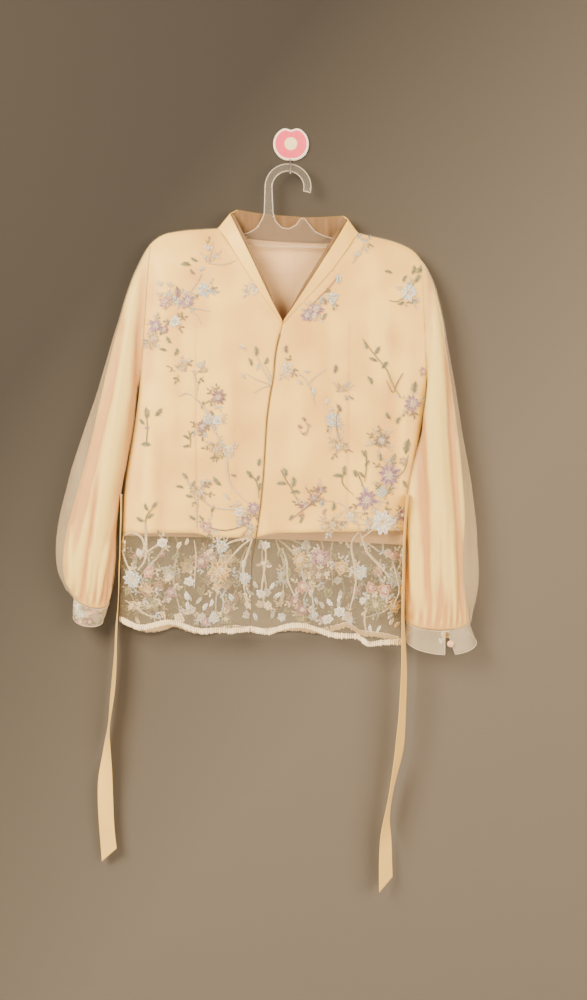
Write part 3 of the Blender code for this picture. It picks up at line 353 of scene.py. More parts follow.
# Plain finishes: colour, grain in mm and the shader's even values. None is for a user's colour.
FINISHES = {
    # Hard round points of light in the flowers' hearts.
    "Glass bead": ("#E9DCC4", 5, {"Roughness": 0.12, "Coat_Weight": 0.6}),
    # A faint sheen on each seam stitch.
    "Polyester sewing thread": ("#C9A777", 2, {"Roughness": 0.5}),
    # A dull dark cord down the front edge: painted shadow in the gap between the fronts.
    "Front edge painted shadow": ("#5E3E22", 1.5, {"Roughness": 0.8}),
    # A paler line where the sheer cloth lies double.
    "Rolled organza": ("#E9DEC8", 3, {"Roughness": 0.5, "Alpha": 0.8}),
    # Dull brownish yarn in the scallops.
    "Cotton cord": ("#B99E74", 2, {"Roughness": 0.7, "Sheen_Weight": 0.2}),
    # Pale soft stitches that stand out on the cord.
    "Cotton overcast thread": ("#FBEBCB", 2, {"Roughness": 0.6, "Sheen_Weight": 0.2}),
    # Milky cords along the clear plastic's outlines: painted highlights where light gathers at its edges.
    "Painted polystyrene highlight": ("#E9DFD0", 8, {"Roughness": 0.1, "Alpha": 0.42}),
    # A smooth pink face with soft highlights.
    "Moulded ABS": (None, 7, {"Roughness": 0.28, "Coat_Weight": 0.4}),
    # A white rim, a little less glossy than the face.
    "White moulded ABS": (None, 7, {"Roughness": 0.3, "Coat_Weight": 0.3}),
    # A glossy cream spot in the pad's middle.
    "Cream enamel": ("#F6E3B4", 4, {"Roughness": 0.25, "Coat_Weight": 0.5}),
    # Grey metal with blurred reflections.
    "Zinc plated steel wire": ("#A7A39B", 1.5, {"Metallic": 1.0, "Roughness": 0.32}),
    # A matt and slightly uneven floor.
    "Floor paint": (None, 40, {"Roughness": 0.8}),
}
# Soft lights: place in metres, size in metres and colour.
LAMPS = {
    "key": ((-1.5, -1.7, 0.5), 1.2, "#FFE8C4"),
    "fill": ((1.6, -1.8, -0.2), 1.6, "#FFE3BE"),
    "rear": ((0.9, 2.0, 0.6), 1.6, "#FFF3E4"),
}

# The faces of the cloth that is sewn so far, by node, for laying stitches on.
SURFACES = {}


def linear(code):
    """An sRGB hex colour as linear red, green, blue."""
    shares = [int(code[k:k + 2], 16) / 255 for k in (1, 3, 5)]
    return tuple(s / 12.92 if s <= 0.04045 else ((s + 0.055) / 1.055) ** 2.4 for s in shares)


def colour(code, name, description):
    """A colour that a user can change."""
    return bpy.props.FloatVectorProperty(
        name=name, description=description, subtype="COLOR", size=3, min=0.0, max=1.0, default=linear(code)
    )


def amount(value, name, description, most=1.0, **kind):
    """A share, a factor or a power that a user can change."""
    return bpy.props.FloatProperty(
        name=name, description=description, default=value, min=0.0, max=most, **kind
    )


def length(value, name, description):
    """A length that a user can change."""
    return amount(value, name, description, 100.0, unit="LENGTH", precision=5)


class BlouseCloth(bpy.types.PropertyGroup):
    """Sizes of the blouse's cloth."""

    lining_thickness: length(0.35 * MM, "Lining", "Thickness of the satin lining")
    net_thickness: length(0.2 * MM, "Net", "Thickness of the net")
    thread: length(0.9 * MM, "Thread", "Spacing of the lining's threads")
    mesh_hole: length(2.0 * MM, "Mesh", "Spacing of the net's holes")
    rolled_edge: length(0.5 * MM, "Rolled edge", "Half the width of a rolled edge")
    net_cover: amount(0.022, "Net cover", "Share of the view that the net's threads cover")
    sleeve_net_cover: amount(0.07, "Sleeve net cover", "Share of the view that the sleeve net covers")


class BlouseColours(bpy.types.PropertyGroup):
    """Colours of the blouse and of what holds it."""

    # The satins' tones in the light and in their creases are lit and shaded tones of one cloth, mixed by each
    # fold's height as painted light and shade; the sleeves' satin is the lining's cloth with its own lighter and
    # deeper tones.
    lining: colour("#FFD96A", "Lining", "Cream satin in the light")
    lining_shade: colour("#E4B257", "Lining shade", "Cream satin in its creases")
    sleeve: colour("#FFE76A", "Sleeve", "Sleeve satin in the light")
    sleeve_shade: colour("#D89628", "Sleeve shade", "Sleeve satin in its creases")
    reverse: colour("#E6BE8E", "Reverse", "Matt reverse of the satin")
    net: colour("#EBD9B4", "Net", "Threads of the net")
    # The neck's net is sheer; its dark taupe tone is painted shade inside the collar.
    facing: colour("#80603C", "Facing", "Taupe net inside the collar")
    organza: colour("#D9CBB0", "Organza", "Sheer cuffs")
    tie: colour("#F0CB76", "Tie", "Satin of the ties")
    pad: colour("#EC5874", "Pad", "Moulded face of the wall pad")
    pad_rim: colour("#F4E9E2", "Pad rim", "Rim of the wall pad")
    button: colour("#DA9458", "Button", "Pearl of the cuff buttons")
    floor: colour("#D8D2C8", "Floor", "Studio floor")
    backdrop: colour("#605B56", "Backdrop", "Studio backdrop")
    air: colour("#D2C4B0", "Surround", "Light that comes from all round")

class BlouseEmbroidery(bpy.types.PropertyGroup):
    """Sizes of the embroidery."""

    lift: length(0.12 * MM, "Lift", "How far the stitches' edges stand off the net")
    rise: length(0.7 * MM, "Rise", "How far a petal's middle stands up")
    thread: length(0.75 * MM, "Thread", "Width of one thread")
    stem_step: length(2.2 * MM, "Stem step", "Spacing of the points along a stem")
    bead: length(0.8 * MM, "Bead", "Radius of a bead")
    overcast: length(3.6 * MM, "Overcast", "Half the length of a stitch round the hem's cord")
    overcast_pitch: length(3.3 * MM, "Overcast pitch", "Spacing of the stitches round the hem's cord")
    seam_stitch: length(2.6 * MM, "Seam stitch", "Spacing of the stitches along a seam")
    spray_gap: length(2.0 * MM, "Spray gap", "Flower radius for each spray round it")
    notch: amount(0.2, "Notch", "Share of its width that a leaf's edge steps in and out by")
    fullness: amount(1.3, "Fullness", "Width of a stem as a multiple of its table's", 2.0)


class BlouseHook(bpy.types.PropertyGroup):
    """Sizes of the wall hook's pad."""

    rim: length(1.9 * MM, "Rim", "Width of the pad's white rim")
    sunk: length(0.5 * MM, "Sunk", "How far the pad's face lies below its rim")
    disc: length(10.0 * MM, "Disc", "Radius of the pale disc in the middle")


class BlouseStage(bpy.types.PropertyGroup):
    """The studio round the blouse."""

    distance: length(2.3, "Camera distance", "From the camera to the blouse")
    key_power: amount(170.0, "Key light", "Power of the soft light from the left", 1000.0, unit="POWER")
    fill_power: amount(92.0, "Fill light", "Power of the soft light from the right", 1000.0, unit="POWER")
    rear_power: amount(95.0, "Rear light", "Power of the soft light on the back", 1000.0, unit="POWER")
    width: length(6.0, "Width", "Width of the floor and of the backdrop")
    floor_drop: length(0.45, "Floor drop", "From the ties' lowest point down to the floor")


def add_node(tree, kind, inputs=(), **settings):
    """Adds a node; inputs pairs a socket's name or number with a value or another node's output."""
    node = tree.nodes.new(kind)
    for name, value in settings.items():
        setattr(node, name, value)
    for key, value in dict(inputs).items():
        if isinstance(value, bpy.types.NodeSocket):
            tree.links.new(value, node.inputs[key])
        else:
            node.inputs[key].default_value = value
    return node


def rgba(tone, share=1.0):
    """A tone made darker or lighter by a share, as a socket takes it."""
    return (*(share * part for part in tone), 1.0)


def two_tone(tree, share, dark, light, height=None, strength=0.0, depth=0.0):
    """Gives a material its two tones, mixed by a share, and its relief."""
    inputs = tree.nodes["Principled BSDF"].inputs
    tint = add_node(tree, "ShaderNodeMix", {0: share, 6: dark, 7: light}, data_type="RGBA")
    tree.links.new(tint.outputs[2], inputs["Base Color"])
    if height:
        relief = {"Height": height, "Strength": strength, "Distance": depth}
        tree.links.new(add_node(tree, "ShaderNodeBump", relief).outputs[0], inputs["Normal"])


def new_material(name, tone, grain=None, **values):
    """A material; its even values are set on the shader, and a grain in metres makes its colour uneven."""
    made = bpy.data.materials.new(name)
    made.use_nodes = True
    tree = made.node_tree
    tree.nodes.clear()
    shader = add_node(tree, "ShaderNodeBsdfPrincipled", {"Base Color": rgba(tone)})
    for socket, value in values.items():
        shader.inputs[socket.replace("_", " ")].default_value = value
    add_node(tree, "ShaderNodeOutputMaterial", {"Surface": shader.outputs["BSDF"]})
    place = add_node(tree, "ShaderNodeTexCoord").outputs["Object"]
    if grain:
        cloud = add_node(tree, "ShaderNodeTexNoise", {"Vector": place, "Scale": 1.0 / grain, "Detail": 3.0})
        cloud = cloud.outputs["Fac"]
        two_tone(tree, cloud, rgba(tone, 0.84), rgba(tone, 1.1), cloud, 0.2, 0.08 * grain)
    return made, tree, place


def plain_material(name, tone=None):
    """A finish from the table of plain ones, in its own colour or in one that a user can change."""
    code, grain, values = FINISHES[name]
    return new_material(name, linear(code) if tone is None else tone, grain * MM, **values)[0]


def satin_material(name, light, shade, thread):
    """Polyester satin, woven and pressed: smooth threads give a soft sheen that follows each fold."""
    made, tree, place = new_material(
        name, light, Roughness=0.42, Sheen_Weight=0.06, Sheen_Roughness=0.4, Specular_IOR_Level=0.35
    )
    cloud = add_node(tree, "ShaderNodeTexNoise", {"Vector": place, "Scale": SATIN_CLOUD, "Detail": 3.0})
    # The colour runs from the crease tone to the light tone by random clouds and by each fold's height: painted
    # shade in the creases, painted light on the ridges.
    fold = add_node(tree, "ShaderNodeAttribute", attribute_name="fold").outputs["Fac"]
    depth = add_node(tree, "ShaderNodeMath", {0: cloud.outputs["Fac"], 1: fold}, operation="ADD").outputs[0]
    reach = {"Value": depth, "From Min": 0.2, "From Max": 0.75}
    share = add_node(tree, "ShaderNodeMapRange", reach).outputs[0]
    bands = {"Vector": place, "Scale": WEAVE / thread, "Distortion": 0.6}
    warp, weft = (
        add_node(tree, "ShaderNodeTexWave", bands, bands_direction=axis).outputs["Fac"] for axis in "XZ"
    )
    weave = add_node(tree, "ShaderNodeMath", {0: warp, 1: weft}, operation="MULTIPLY").outputs[0]
    two_tone(tree, share, rgba(shade), rgba(light), weave, 0.25, 0.1 * MM)
    return made


def net_material(name, tone, hole, cover, roughness=0.6):
    """Knitted nylon net: fine threads round open holes, drawn coarse enough to show."""
    made, tree, place = new_material(name, tone, Roughness=roughness, Sheen_Weight=0.3)
    turned = {"Vector": place, "Rotation": (math.pi / 2, 0.0, 0.0)}
    front_on = add_node(tree, "ShaderNodeMapping", turned).outputs[0]
    cells = add_node(
        tree, "ShaderNodeTexVoronoi", {"Vector": front_on, "Scale": 1.0 / hole, "Randomness": 0.6},
        feature="DISTANCE_TO_EDGE", voronoi_dimensions="2D",
    )
    near = {"Value": cells.outputs["Distance"], "From Min": 0.05, "From Max": 0.16, "To Min": 1.0, "To Max": 0.0}
    threads = add_node(tree, "ShaderNodeMapRange", near)
    cloud = add_node(tree, "ShaderNodeTexNoise", {"Vector": place, "Scale": NET_CLOUD, "Detail": 2.0})
    cloud = cloud.outputs["Fac"]
    haze = add_node(tree, "ShaderNodeMapRange", {"Value": cloud, "To Min": 0.4 * cover, "To Max": cover})
    alpha = add_node(
        tree, "ShaderNodeMapRange",
        {"Value": threads.outputs[0], "To Min": haze.outputs[0], "To Max": min(1.0, 5.0 * cover)},
    )
    tree.links.new(alpha.outputs[0], tree.nodes["Principled BSDF"].inputs["Alpha"])
    two_tone(tree, cloud, rgba(tone, 0.86), rgba(tone))
    return made


def thread_material(name, pitch):
    """Rayon embroidery thread: its twist gives fine ridges along each stitch, bumped and painted as bright lines
    of highlight.
    """
    heart, tip = (linear(code) for code in THREADS[name])
    made, tree, place = new_material(
        f"Rayon thread {name}", tip, Roughness=0.34, Sheen_Weight=0.35, Specular_IOR_Level=0.6
    )
    lie = add_node(tree, "ShaderNodeUVMap", uv_map="threads").outputs["UV"]
    # Real thread is finer: it is drawn this coarse so that the stitches show.
    lines = {"Vector": lie, "Scale": WAVE * MM / pitch, "Distortion": 0.4}
    bands = add_node(tree, "ShaderNodeTexWave", lines, bands_direction="X").outputs["Fac"]
    rims = add_node(tree, "ShaderNodeUVMap", uv_map="rims").outputs["UV"]
    split = add_node(tree, "ShaderNodeSeparateXYZ", {"Vector": rims}).outputs
    # Painted shade and light: the colour is darker at the foot and middle of each petal, leaf and stem, and
    # lighter towards its tip and padded rims, with the twist's painted highlights and random fuzz.
    depth = add_node(
        tree, "ShaderNodeMapRange",
        {"Value": split["X"], "From Min": 0.3, "From Max": 0.8, "To Min": -0.85, "To Max": -0.3},
    ).outputs[0]
    fuzz = add_node(tree, "ShaderNodeTexNoise", {"Vector": place, "Scale": FUZZ, "Detail": 2.0})
    for part, share in ((split["Y"], 0.25), (bands, 0.2), (fuzz.outputs["Fac"], 1.4)):
        added = add_node(tree, "ShaderNodeMath", {0: part, 1: share, 2: depth}, operation="MULTIPLY_ADD")
        depth = added.outputs[0]
    two_tone(tree, depth, rgba(heart), rgba(tip), bands, 0.6, 0.15 * MM)
    return made


def reverse_material(tone):
    """The satin's matt reverse, which shows no sheen inside the neck."""
    made, tree, place = new_material("Satin's matt reverse", tone, Roughness=0.7, Sheen_Weight=0.1)
    cloud = add_node(tree, "ShaderNodeTexNoise", {"Vector": place, "Scale": REVERSE_CLOUD, "Detail": 3.0})
    two_tone(tree, cloud.outputs["Fac"], rgba(tone, 0.7), rgba(tone))
    return made


def pearl_material(tone):
    """Dyed pearl shell: pale cloudy layers under a clear polish."""
    made, tree, place = new_material(
        "Dyed pearl shell", tone, Roughness=0.18, Coat_Weight=0.6, Coat_Roughness=0.1, Sheen_Weight=0.1
    )
    layers = {"Vector": place, "Scale": 90.0, "Distortion": 6.0, "Detail": 2.0}
    layers = add_node(tree, "ShaderNodeTexWave", layers).outputs["Fac"]
    two_tone(tree, layers, rgba(tone), rgba(linear("#F3D9BC")))
    return made


def clear_material(code):
    """Moulded polystyrene: clear, with slow waves that bend what lies behind it."""
    made, tree, place = new_material(
        "Moulded polystyrene", linear(code), Roughness=0.06, IOR=1.4, Transmission_Weight=0.9, Alpha=0.45
    )
    flow = {"Vector": place, "Scale": FLOW, "Detail": 2.0}
    flow = add_node(tree, "ShaderNodeTexNoise", flow).outputs["Fac"]
    two_tone(tree, flow, rgba(linear(code)), rgba(linear(code)), flow, 0.2, 0.3 * MM)
    return made


def photo_point(x, y):
    """A place in the photograph as x and z in the frame."""
    return (x - PHOTO_ORIGIN[0]) * PIXEL, (PHOTO_ORIGIN[1] - y) * PIXEL


def photo_z(y):
    """The height in the frame of a place in the photograph."""
    return photo_point(0, y)[1]


def islands(work):
    """The faces of a bmesh, in groups that hang together."""
    left, groups = set(work.faces), []
    while left:
        stack, group = [left.pop()], []
        while stack:
            face = stack.pop()
            group.append(face)
            for near in {f for edge in face.edges for f in edge.link_faces} & left:
                left.discard(near)
                stack.append(near)
        groups.append(group)
    return groups


def diagonals(work):
    """The edges that cut a grid's quads in two: the longest of the three runs that miss its rim."""
    work.faces.ensure_lookup_table()
    start = work.faces[0]
    run = {loop: k for k, loop in enumerate(start.loops)}
    stack, done = [start], {start}
    while stack:
        for loop in stack.pop().loops:
            for other in loop.edge.link_loops:
                if other.face in done:
                    continue
                done.add(other.face)
                stack.append(other.face)
                turn = other
                for step in range(3):
                    run[turn] = (run[loop] + step) % 3
                    turn = turn.link_loop_next
    edges = [{loop.edge for loop, k in run.items() if k == kind} for kind in range(3)]
    inner = [group for group in edges if not any(edge.is_boundary for edge in group)]
    return max(inner, key=lambda group: sum(edge.calc_length() for edge in group))


def merged(node):
    """A node's mesh with its loose triangles joined."""
    work = bmesh.new()
    work.from_mesh(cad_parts[node].data)
    bmesh.ops.remove_doubles(work, verts=work.verts[:], dist=MERGE)
    return work


def wall_face(node):
    """The outer face of a cloth node's wall, as a grid of quads."""
    work = merged(node)
    limit = WALLS[max((kind for kind in WALLS if node.startswith(kind)), key=len)] * MM * RIM_MARGIN
    rims = [face for face in work.faces if min(edge.calc_length() for edge in face.edges) < limit]
    bmesh.ops.delete(work, geom=rims, context="FACES")
    sides = islands(work)
    if len(sides) != 2:
        raise RuntimeError(f"{node} has {len(sides)} faces where a wall has two")
    sides.sort(key=lambda group: sum(f.calc_area() * abs(f.calc_center_median().y - SEAM_Y) for f in group))
    bmesh.ops.delete(work, geom=sides[0], context="FACES")
    bmesh.ops.dissolve_edges(work, edges=list(diagonals(work)), use_verts=False)
    if any(len(face.verts) != 4 for face in work.faces):
        raise RuntimeError(f"{node} isn't a plain grid")
    return work


def keep_corners(work):
    """Marks the rim's corners, so that smoothing doesn't round them off."""
    layer = work.verts.layers.float.get("crease_vert") or work.verts.layers.float.new("crease_vert")
    for vert in work.verts:
        rim = [edge.other_vert(vert).co - vert.co for edge in vert.link_edges if edge.is_boundary]
        if len(rim) == 2 and math.pi - rim[0].angle(rim[1]) > CORNER_TURN:
            vert[layer] = 1.0


def object_of(name, shape, *finishes):
    """An object of a mesh or of a finished bmesh, with its materials."""
    mesh = shape
    if isinstance(shape, bmesh.types.BMesh):
        mesh = bpy.data.meshes.new(name)
        shape.to_mesh(mesh)
        shape.free()
    made = bpy.data.objects.new(name, mesh)
    bpy.context.scene.collection.objects.link(made)
    for finish in finishes:
        mesh.materials.append(finish)
    return made


def settle(piece):
    """Turns a piece's modifiers into its plain mesh."""
    graph = bpy.context.evaluated_depsgraph_get()
    mesh = bpy.data.meshes.new_from_object(piece.evaluated_get(graph))
    piece.modifiers.clear()
    piece.data = mesh


def smooth_sheet(node, levels):
    """A smooth open sheet on the outer face of a node's wall."""
    work = wall_face(node)
    keep_corners(work)
    sheet = object_of(f"{node}_cloth", work)
    smoother = sheet.modifiers.new("Smooth", "SUBSURF")
    smoother.levels = smoother.render_levels = levels
    smoother.boundary_smooth = "PRESERVE_CORNERS"
    settle(sheet)
    sheet.data.shade_smooth()
    return sheet


def fold_height(folds, x, z):
    """How far the cloth stands out at a place, from a table of folds."""
    height = 0.0
    for top_x, top_y, low_x, low_y, half_width, rise in folds:
        start, end = Vector(photo_point(top_x, top_y)), Vector(photo_point(low_x, low_y))
        line, place = end - start, Vector((x, z)) - start
        share = place.dot(line) / line.length_squared
        if 0.0 < share < 1.0:
            across = (place - line * share).length / (half_width * MM)
            if across < 3.0:
                height += rise * MM * math.sin(math.pi * share) ** FOLD_FADE * math.exp(-across * across)
    return height


def seam_tree(points):
    """A tree that finds the seam point nearest to a place."""
    tree = KDTree(len(points))
    for number, point in enumerate(points):
        tree.insert(point, number)
    tree.balance()
    return tree


def rim_points(node, keep=lambda point: True):
    """The rim of a node's wall at the points that keep(point) asks for."""
    work = wall_face(node)
    points = []
    for edge in work.edges:
        if edge.is_boundary and keep(edge.verts[0].co) and keep(edge.verts[1].co):
            a, b = (vert.co.copy() for vert in edge.verts)
            points += [a.lerp(b, k / RIM_STEPS) for k in range(RIM_STEPS + 1)]
    work.free()
    return points


def meet(sheet, tree, reach):
    """Takes the points of a sheet's rim that are near a seam onto the seam."""
    work = bmesh.new()
    work.from_mesh(sheet.data)
    for vert in work.verts:
        if vert.is_boundary:
            place, number, distance = tree.find(vert.co)
            if distance < reach:
                vert.co = place
    work.to_mesh(sheet.data)
    work.free()


def lean(sheet, side):
    """Brings a sleeve's inner side to the body below the armhole."""
    reach, top, low = SLEEVE_LEAN
    top, low = photo_z(top), photo_z(low)
    towards = 1.0 if side == "left" else -1.0
    mesh = sheet.data
    for vert, normal in zip(mesh.vertices, [vert.normal.copy() for vert in mesh.vertices]):
        share = (vert.co.z - low) / (top - low)
        if 0.0 < share < 1.0:
            vert.co.x += towards * reach * max(0.0, normal.x * towards) * math.sin(math.pi * share) ** 0.5


def drape(sheet, folds, swell, seams=None, gather_z=None):
    """Moves a sheet's points out into its folds, less and less towards its seams."""
    mesh = sheet.data
    # The fold attribute carries each point's height into the satin's colour: painted light on ridges, painted
    # shade in creases.
    attribute = mesh.attributes.new("fold", "FLOAT", "POINT")
    tree = seam_tree(seams) if seams else None
    depths = []
    for vert, normal in zip(mesh.vertices, [vert.normal.copy() for vert in mesh.vertices]):
        x, y, z = vert.co
        height = fold_height(folds(y), x, z) + swell * MM * noise.noise(vert.co / SWELL_LENGTH)
        if gather_z is not None:
            near = max(0.0, 1.0 - (z - gather_z) / GATHER_HEIGHT)
            height += GATHER_DEPTH * near * near * math.sin(math.tau * x / GATHER_PITCH + y / GATHER_SLANT)
        hold = min(1.0, tree.find(vert.co)[2] / SEAM_FADE) if tree else 1.0
        height *= hold * hold * (3.0 - 2.0 * hold)
        vert.co += normal * height
        vert.co.y = min(vert.co.y, -WALL_CLEAR)
        depths.append(height / MM * FOLD_TONE)
    attribute.data.foreach_set("value", depths)


def thicken(sheet, thickness, *finishes):
    """Gives a sheet its real thickness, inwards from its face, and its finish; a second is the reverse's."""
    for finish in finishes:
        sheet.data.materials.append(finish)
    wall = sheet.modifiers.new("Thickness", "SOLIDIFY")
    wall.thickness = thickness
    wall.offset = -1.0
    wall.material_offset = len(finishes) - 1
    settle(sheet)


def rim_lines(sheet):
    """The rims of an open sheet, each as its points in order."""
    work = bmesh.new()
    work.from_mesh(sheet.data)
    left, lines = {edge for edge in work.edges if edge.is_boundary}, []
    while left:
        edge = left.pop()
        start, vert = edge.verts
        line = [start.co.copy(), vert.co.copy()]
        while vert is not start:
            edge = next(near for near in vert.link_edges if near in left)
            left.discard(edge)
            vert = edge.other_vert(vert)
            line.append(vert.co.copy())
        lines.append(line)
    work.free()
    return lines


def fasten(piece, slot, *nodes):
    """Fastens a piece to the frame, in the place of the nodes that it stands for."""
    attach(piece, ROOT)
    if nodes:
        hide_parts(*nodes)


def cord_along(name, lines, radius, finish, slot):
    """A thin cord or a rolled edge along lines."""
    curve = bpy.data.curves.new(name, "CURVE")
    curve.dimensions = "3D"
    curve.bevel_depth = radius
    curve.bevel_resolution = 1
    for line in lines:
        spline = curve.splines.new("POLY")
        spline.points.add(len(line) - 1)
        for point, place in zip(spline.points, line):
            point.co = (*place, 1.0)
    shape = bpy.data.objects.new(name, curve)
    bpy.context.scene.collection.objects.link(shape)
    graph = bpy.context.evaluated_depsgraph_get()
    mesh = bpy.data.meshes.new_from_object(shape.evaluated_get(graph))
    bpy.data.objects.remove(shape)
    bpy.data.curves.remove(curve)
    mesh.shade_smooth()
    fasten(object_of(name, mesh, finish), slot)


def declare(sheet, node, slot):
    """Fastens a sheet to the frame, in the place of its node."""
    fasten(sheet, slot, node)


def surface_of(sheet):
    """A sheet's face, for finding places on it."""
    faces = [tuple(face.vertices) for face in sheet.data.polygons]
    return BVHTree.FromPolygons([vert.co.copy() for vert in sheet.data.vertices], faces)


def build_panels(kind, thickness, finishes):
    """The lining or the net of the body: two fronts and a back."""
    for panel, levels in PANEL_LEVELS.items():
        node = f"{kind}_{panel}"
        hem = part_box(f"hem_cord_{panel}")[1].z
        sheet = smooth_sheet(node, levels)
        seams = rim_points(f"net_{panel}", lambda point, hem=hem: point.z > hem)
        drape(sheet, lambda y: FRONT_FOLDS if y < SEAM_Y else BACK_FOLDS, BODY_SWELL, seams)
        SURFACES[node] = surface_of(sheet)
        thicken(sheet, thickness, *finishes)
        declare(sheet, node, kind)


def smooth_route(points, step):
    """Points along a smooth curve through a route's own points."""
    route = [Vector(point) for point in points]
    route = [2 * route[0] - route[1]] + route + [2 * route[-1] - route[-2]]
    out = []
    for a, b, c, d in zip(route, route[1:], route[2:], route[3:]):
        count = max(1, round((c - b).length / step))
        for k in range(count):
            t = k / count
            bend = (2 * a - 5 * b + 4 * c - d) * t ** 2 + (3 * b - a - 3 * c + d) * t ** 3
            out.append(0.5 * (2 * b + (c - a) * t + bend))
    return out + [route[-2]]


def lay_on(surface, out, x, z, height):
    """A place on a cloth's face, found along the view from the front (out -1) or the back (out 1)."""
    hit, normal, face, far = surface.ray_cast(Vector((x, out, z)), Vector((0.0, -out, 0.0)))
    if hit is None:
        hit, normal, face, far = surface.find_nearest(Vector((x, SEAM_Y + out * BODY_DEPTH, z)))
    if normal.y * out < 0.0:
        normal = -normal
    return hit + normal * height


class Stitching:
    """Embroidery on one panel of net: points, faces, the way its threads lie, colours and beads."""

    def __init__(self, node, front, settings):
        self.surface, self.front, self.settings = SURFACES[node], front, settings
        self.out = -1.0 if front else 1.0
        self.points, self.faces, self.lies, self.edges, self.threads, self.beads = [], [], [], [], [], []
        self.chance = random.Random(f"{SEED} {node}")

    def across(self, x):
        """A place across the front; on the back it is the front's mirror image."""
        return x if self.front else 2 * photo_point(BODY_CENTRE, 0)[0] - x

    def lay(self, x, z, height):
        """A place on the net, raised by a height."""
        return lay_on(self.surface, self.out, self.across(x), z, height)

    def covers(self, x, z):
        """Whether the panel lies at a place."""
        start = Vector((self.across(x), self.out, z))
        return self.surface.ray_cast(start, Vector((0.0, -self.out, 0.0)))[0] is not None

    def satin(self, thread, rows, columns, place):
        """A patch of stitches; place(s, t) gives x, z, height and lie for s across and t along it."""
        first = len(self.points)
        for row in range(rows + 1):
            for column in range(columns + 1):
                x, z, height, lie = place(2 * column / columns - 1, row / rows)
                self.points.append(self.lay(x, z, self.settings.lift + height))
                self.lies.append((lie, row / rows))
                self.edges.append((abs(2 * column / columns - 1), row / rows))
        for row in range(rows):
            for column in range(columns):
                a = first + row * (columns + 1) + column
                self.faces.append((a, a + 1, a + columns + 2, a + columns + 1))
                self.threads.append(THREAD_NAMES.index(thread))

    def petal(self, thread, x, z, turn, reach, half_width):
        """A domed petal, its threads running out from the flower's heart."""
        cos, sin = math.cos(turn), math.sin(turn)

        def place(s, t):
            along = reach * (0.1 + 0.9 * t)
            notch = 1.0 + self.settings.notch * math.cos(PETAL_ROWS * math.pi * t)
            across = half_width * s * notch * math.sin(math.pi * (0.16 + 0.8 * t)) ** 0.55
            padded = (1.0 - s ** 6) * (0.35 + 0.9 * s * s)
            height = self.settings.rise * padded * math.sin(math.pi * (0.2 + 0.7 * t))
            return x + cos * along + sin * across, z + sin * along - cos * across, height, s * half_width / MM

        self.satin(thread, PETAL_ROWS, 6, place)

    def leaf(self, x, y, reach, degrees, thread):
        """A leaf with slanting threads either side of a sunk vein."""
        x, z = photo_point(x, y)
        reach, turn = reach * PIXEL, math.radians(degrees)
        cos, sin = math.cos(turn), math.sin(turn)
        half_width = reach * self.chance.uniform(0.16, 0.22)
        bow = reach * self.chance.uniform(-0.14, 0.14)

        def place(s, t):
            along = reach * t
            swell = math.sin(math.pi * t)
            notch = 1.0 + self.settings.notch * math.cos(LEAF_ROWS * math.pi * t)
            across = half_width * s * notch * swell ** 0.75 + bow * swell
            height = self.settings.rise * (1.0 - s * s) * min(1.0, 0.4 + 1.4 * abs(s)) * swell
            lie = (along + abs(s) * half_width) / MM
            return x + cos * along + sin * across, z + sin * along - cos * across, height, lie

        self.satin(thread, LEAF_ROWS, 6, place)

    def stem(self, thread, half_width, *points):
        """A raised line of rope stitch."""
        route = smooth_route([photo_point(*point) for point in points], self.settings.stem_step)
        half_width *= self.settings.fullness
        count = len(route) - 1

        def place(s, t):
            k = min(count - 1, int(t * count))
            centre = route[k].lerp(route[k + 1], t * count - k)
            line = (route[k + 1] - route[k]).normalized()
            across = half_width * MM * s * (0.55 + 0.45 * math.sin(math.pi * min(1.0, 0.08 + t)))
            height = 0.8 * half_width * MM * (1.0 - s * s)
            lie = count * t * self.settings.stem_step / MM + s * half_width
            return centre.x + line.y * across, centre.y - line.x * across, height, lie

        self.satin(thread, count, 3, place)

    def flower(self, x, y, radius, kind, thread):
        """A flower, fan or bud with its rings of petals and its heart of beads."""
        petals, share, spread, inner = FLOWER_KINDS[kind]
        x, z = photo_point(x, y)
        radius *= PIXEL
        start = self.chance.uniform(50, 130) if spread < 360 else self.chance.uniform(0, 360)
        for ring, count, reach, tone in ((0, petals, radius, thread), (1, inner, radius * 0.55, "cream")):
            for k in range(count):
                if spread < 360:
                    degrees = start + spread * (k / (count - 1) - 0.5)
                else:
                    degrees = start + 360 * (k + 0.5 * ring) / count
                turn = math.radians(degrees + self.chance.uniform(-11, 11))
                length = reach * self.chance.uniform(0.76, 1.1)
                self.petal(tone, x, z, turn, length, share * length * (1.0 + 0.5 * ring))
        heart = self.settings.rise * 1.6 + self.settings.lift
        large = radius > LARGE_FLOWER
        self.beads.append((self.lay(x, z, heart), 1.3 if large else 0.9))
        if large:
            for k in range(round(radius / self.settings.spray_gap)):
                self.spray(x, z, radius, math.radians(self.chance.uniform(0, 360)))
        if large and spread == 360:
            for k in range(6):
                turn = math.radians(start + 60 * k)
                ring = 0.2 * radius
                place = self.lay(x + ring * math.cos(turn), z + ring * math.sin(turn), heart * 0.9)
                self.beads.append((place, 0.8))

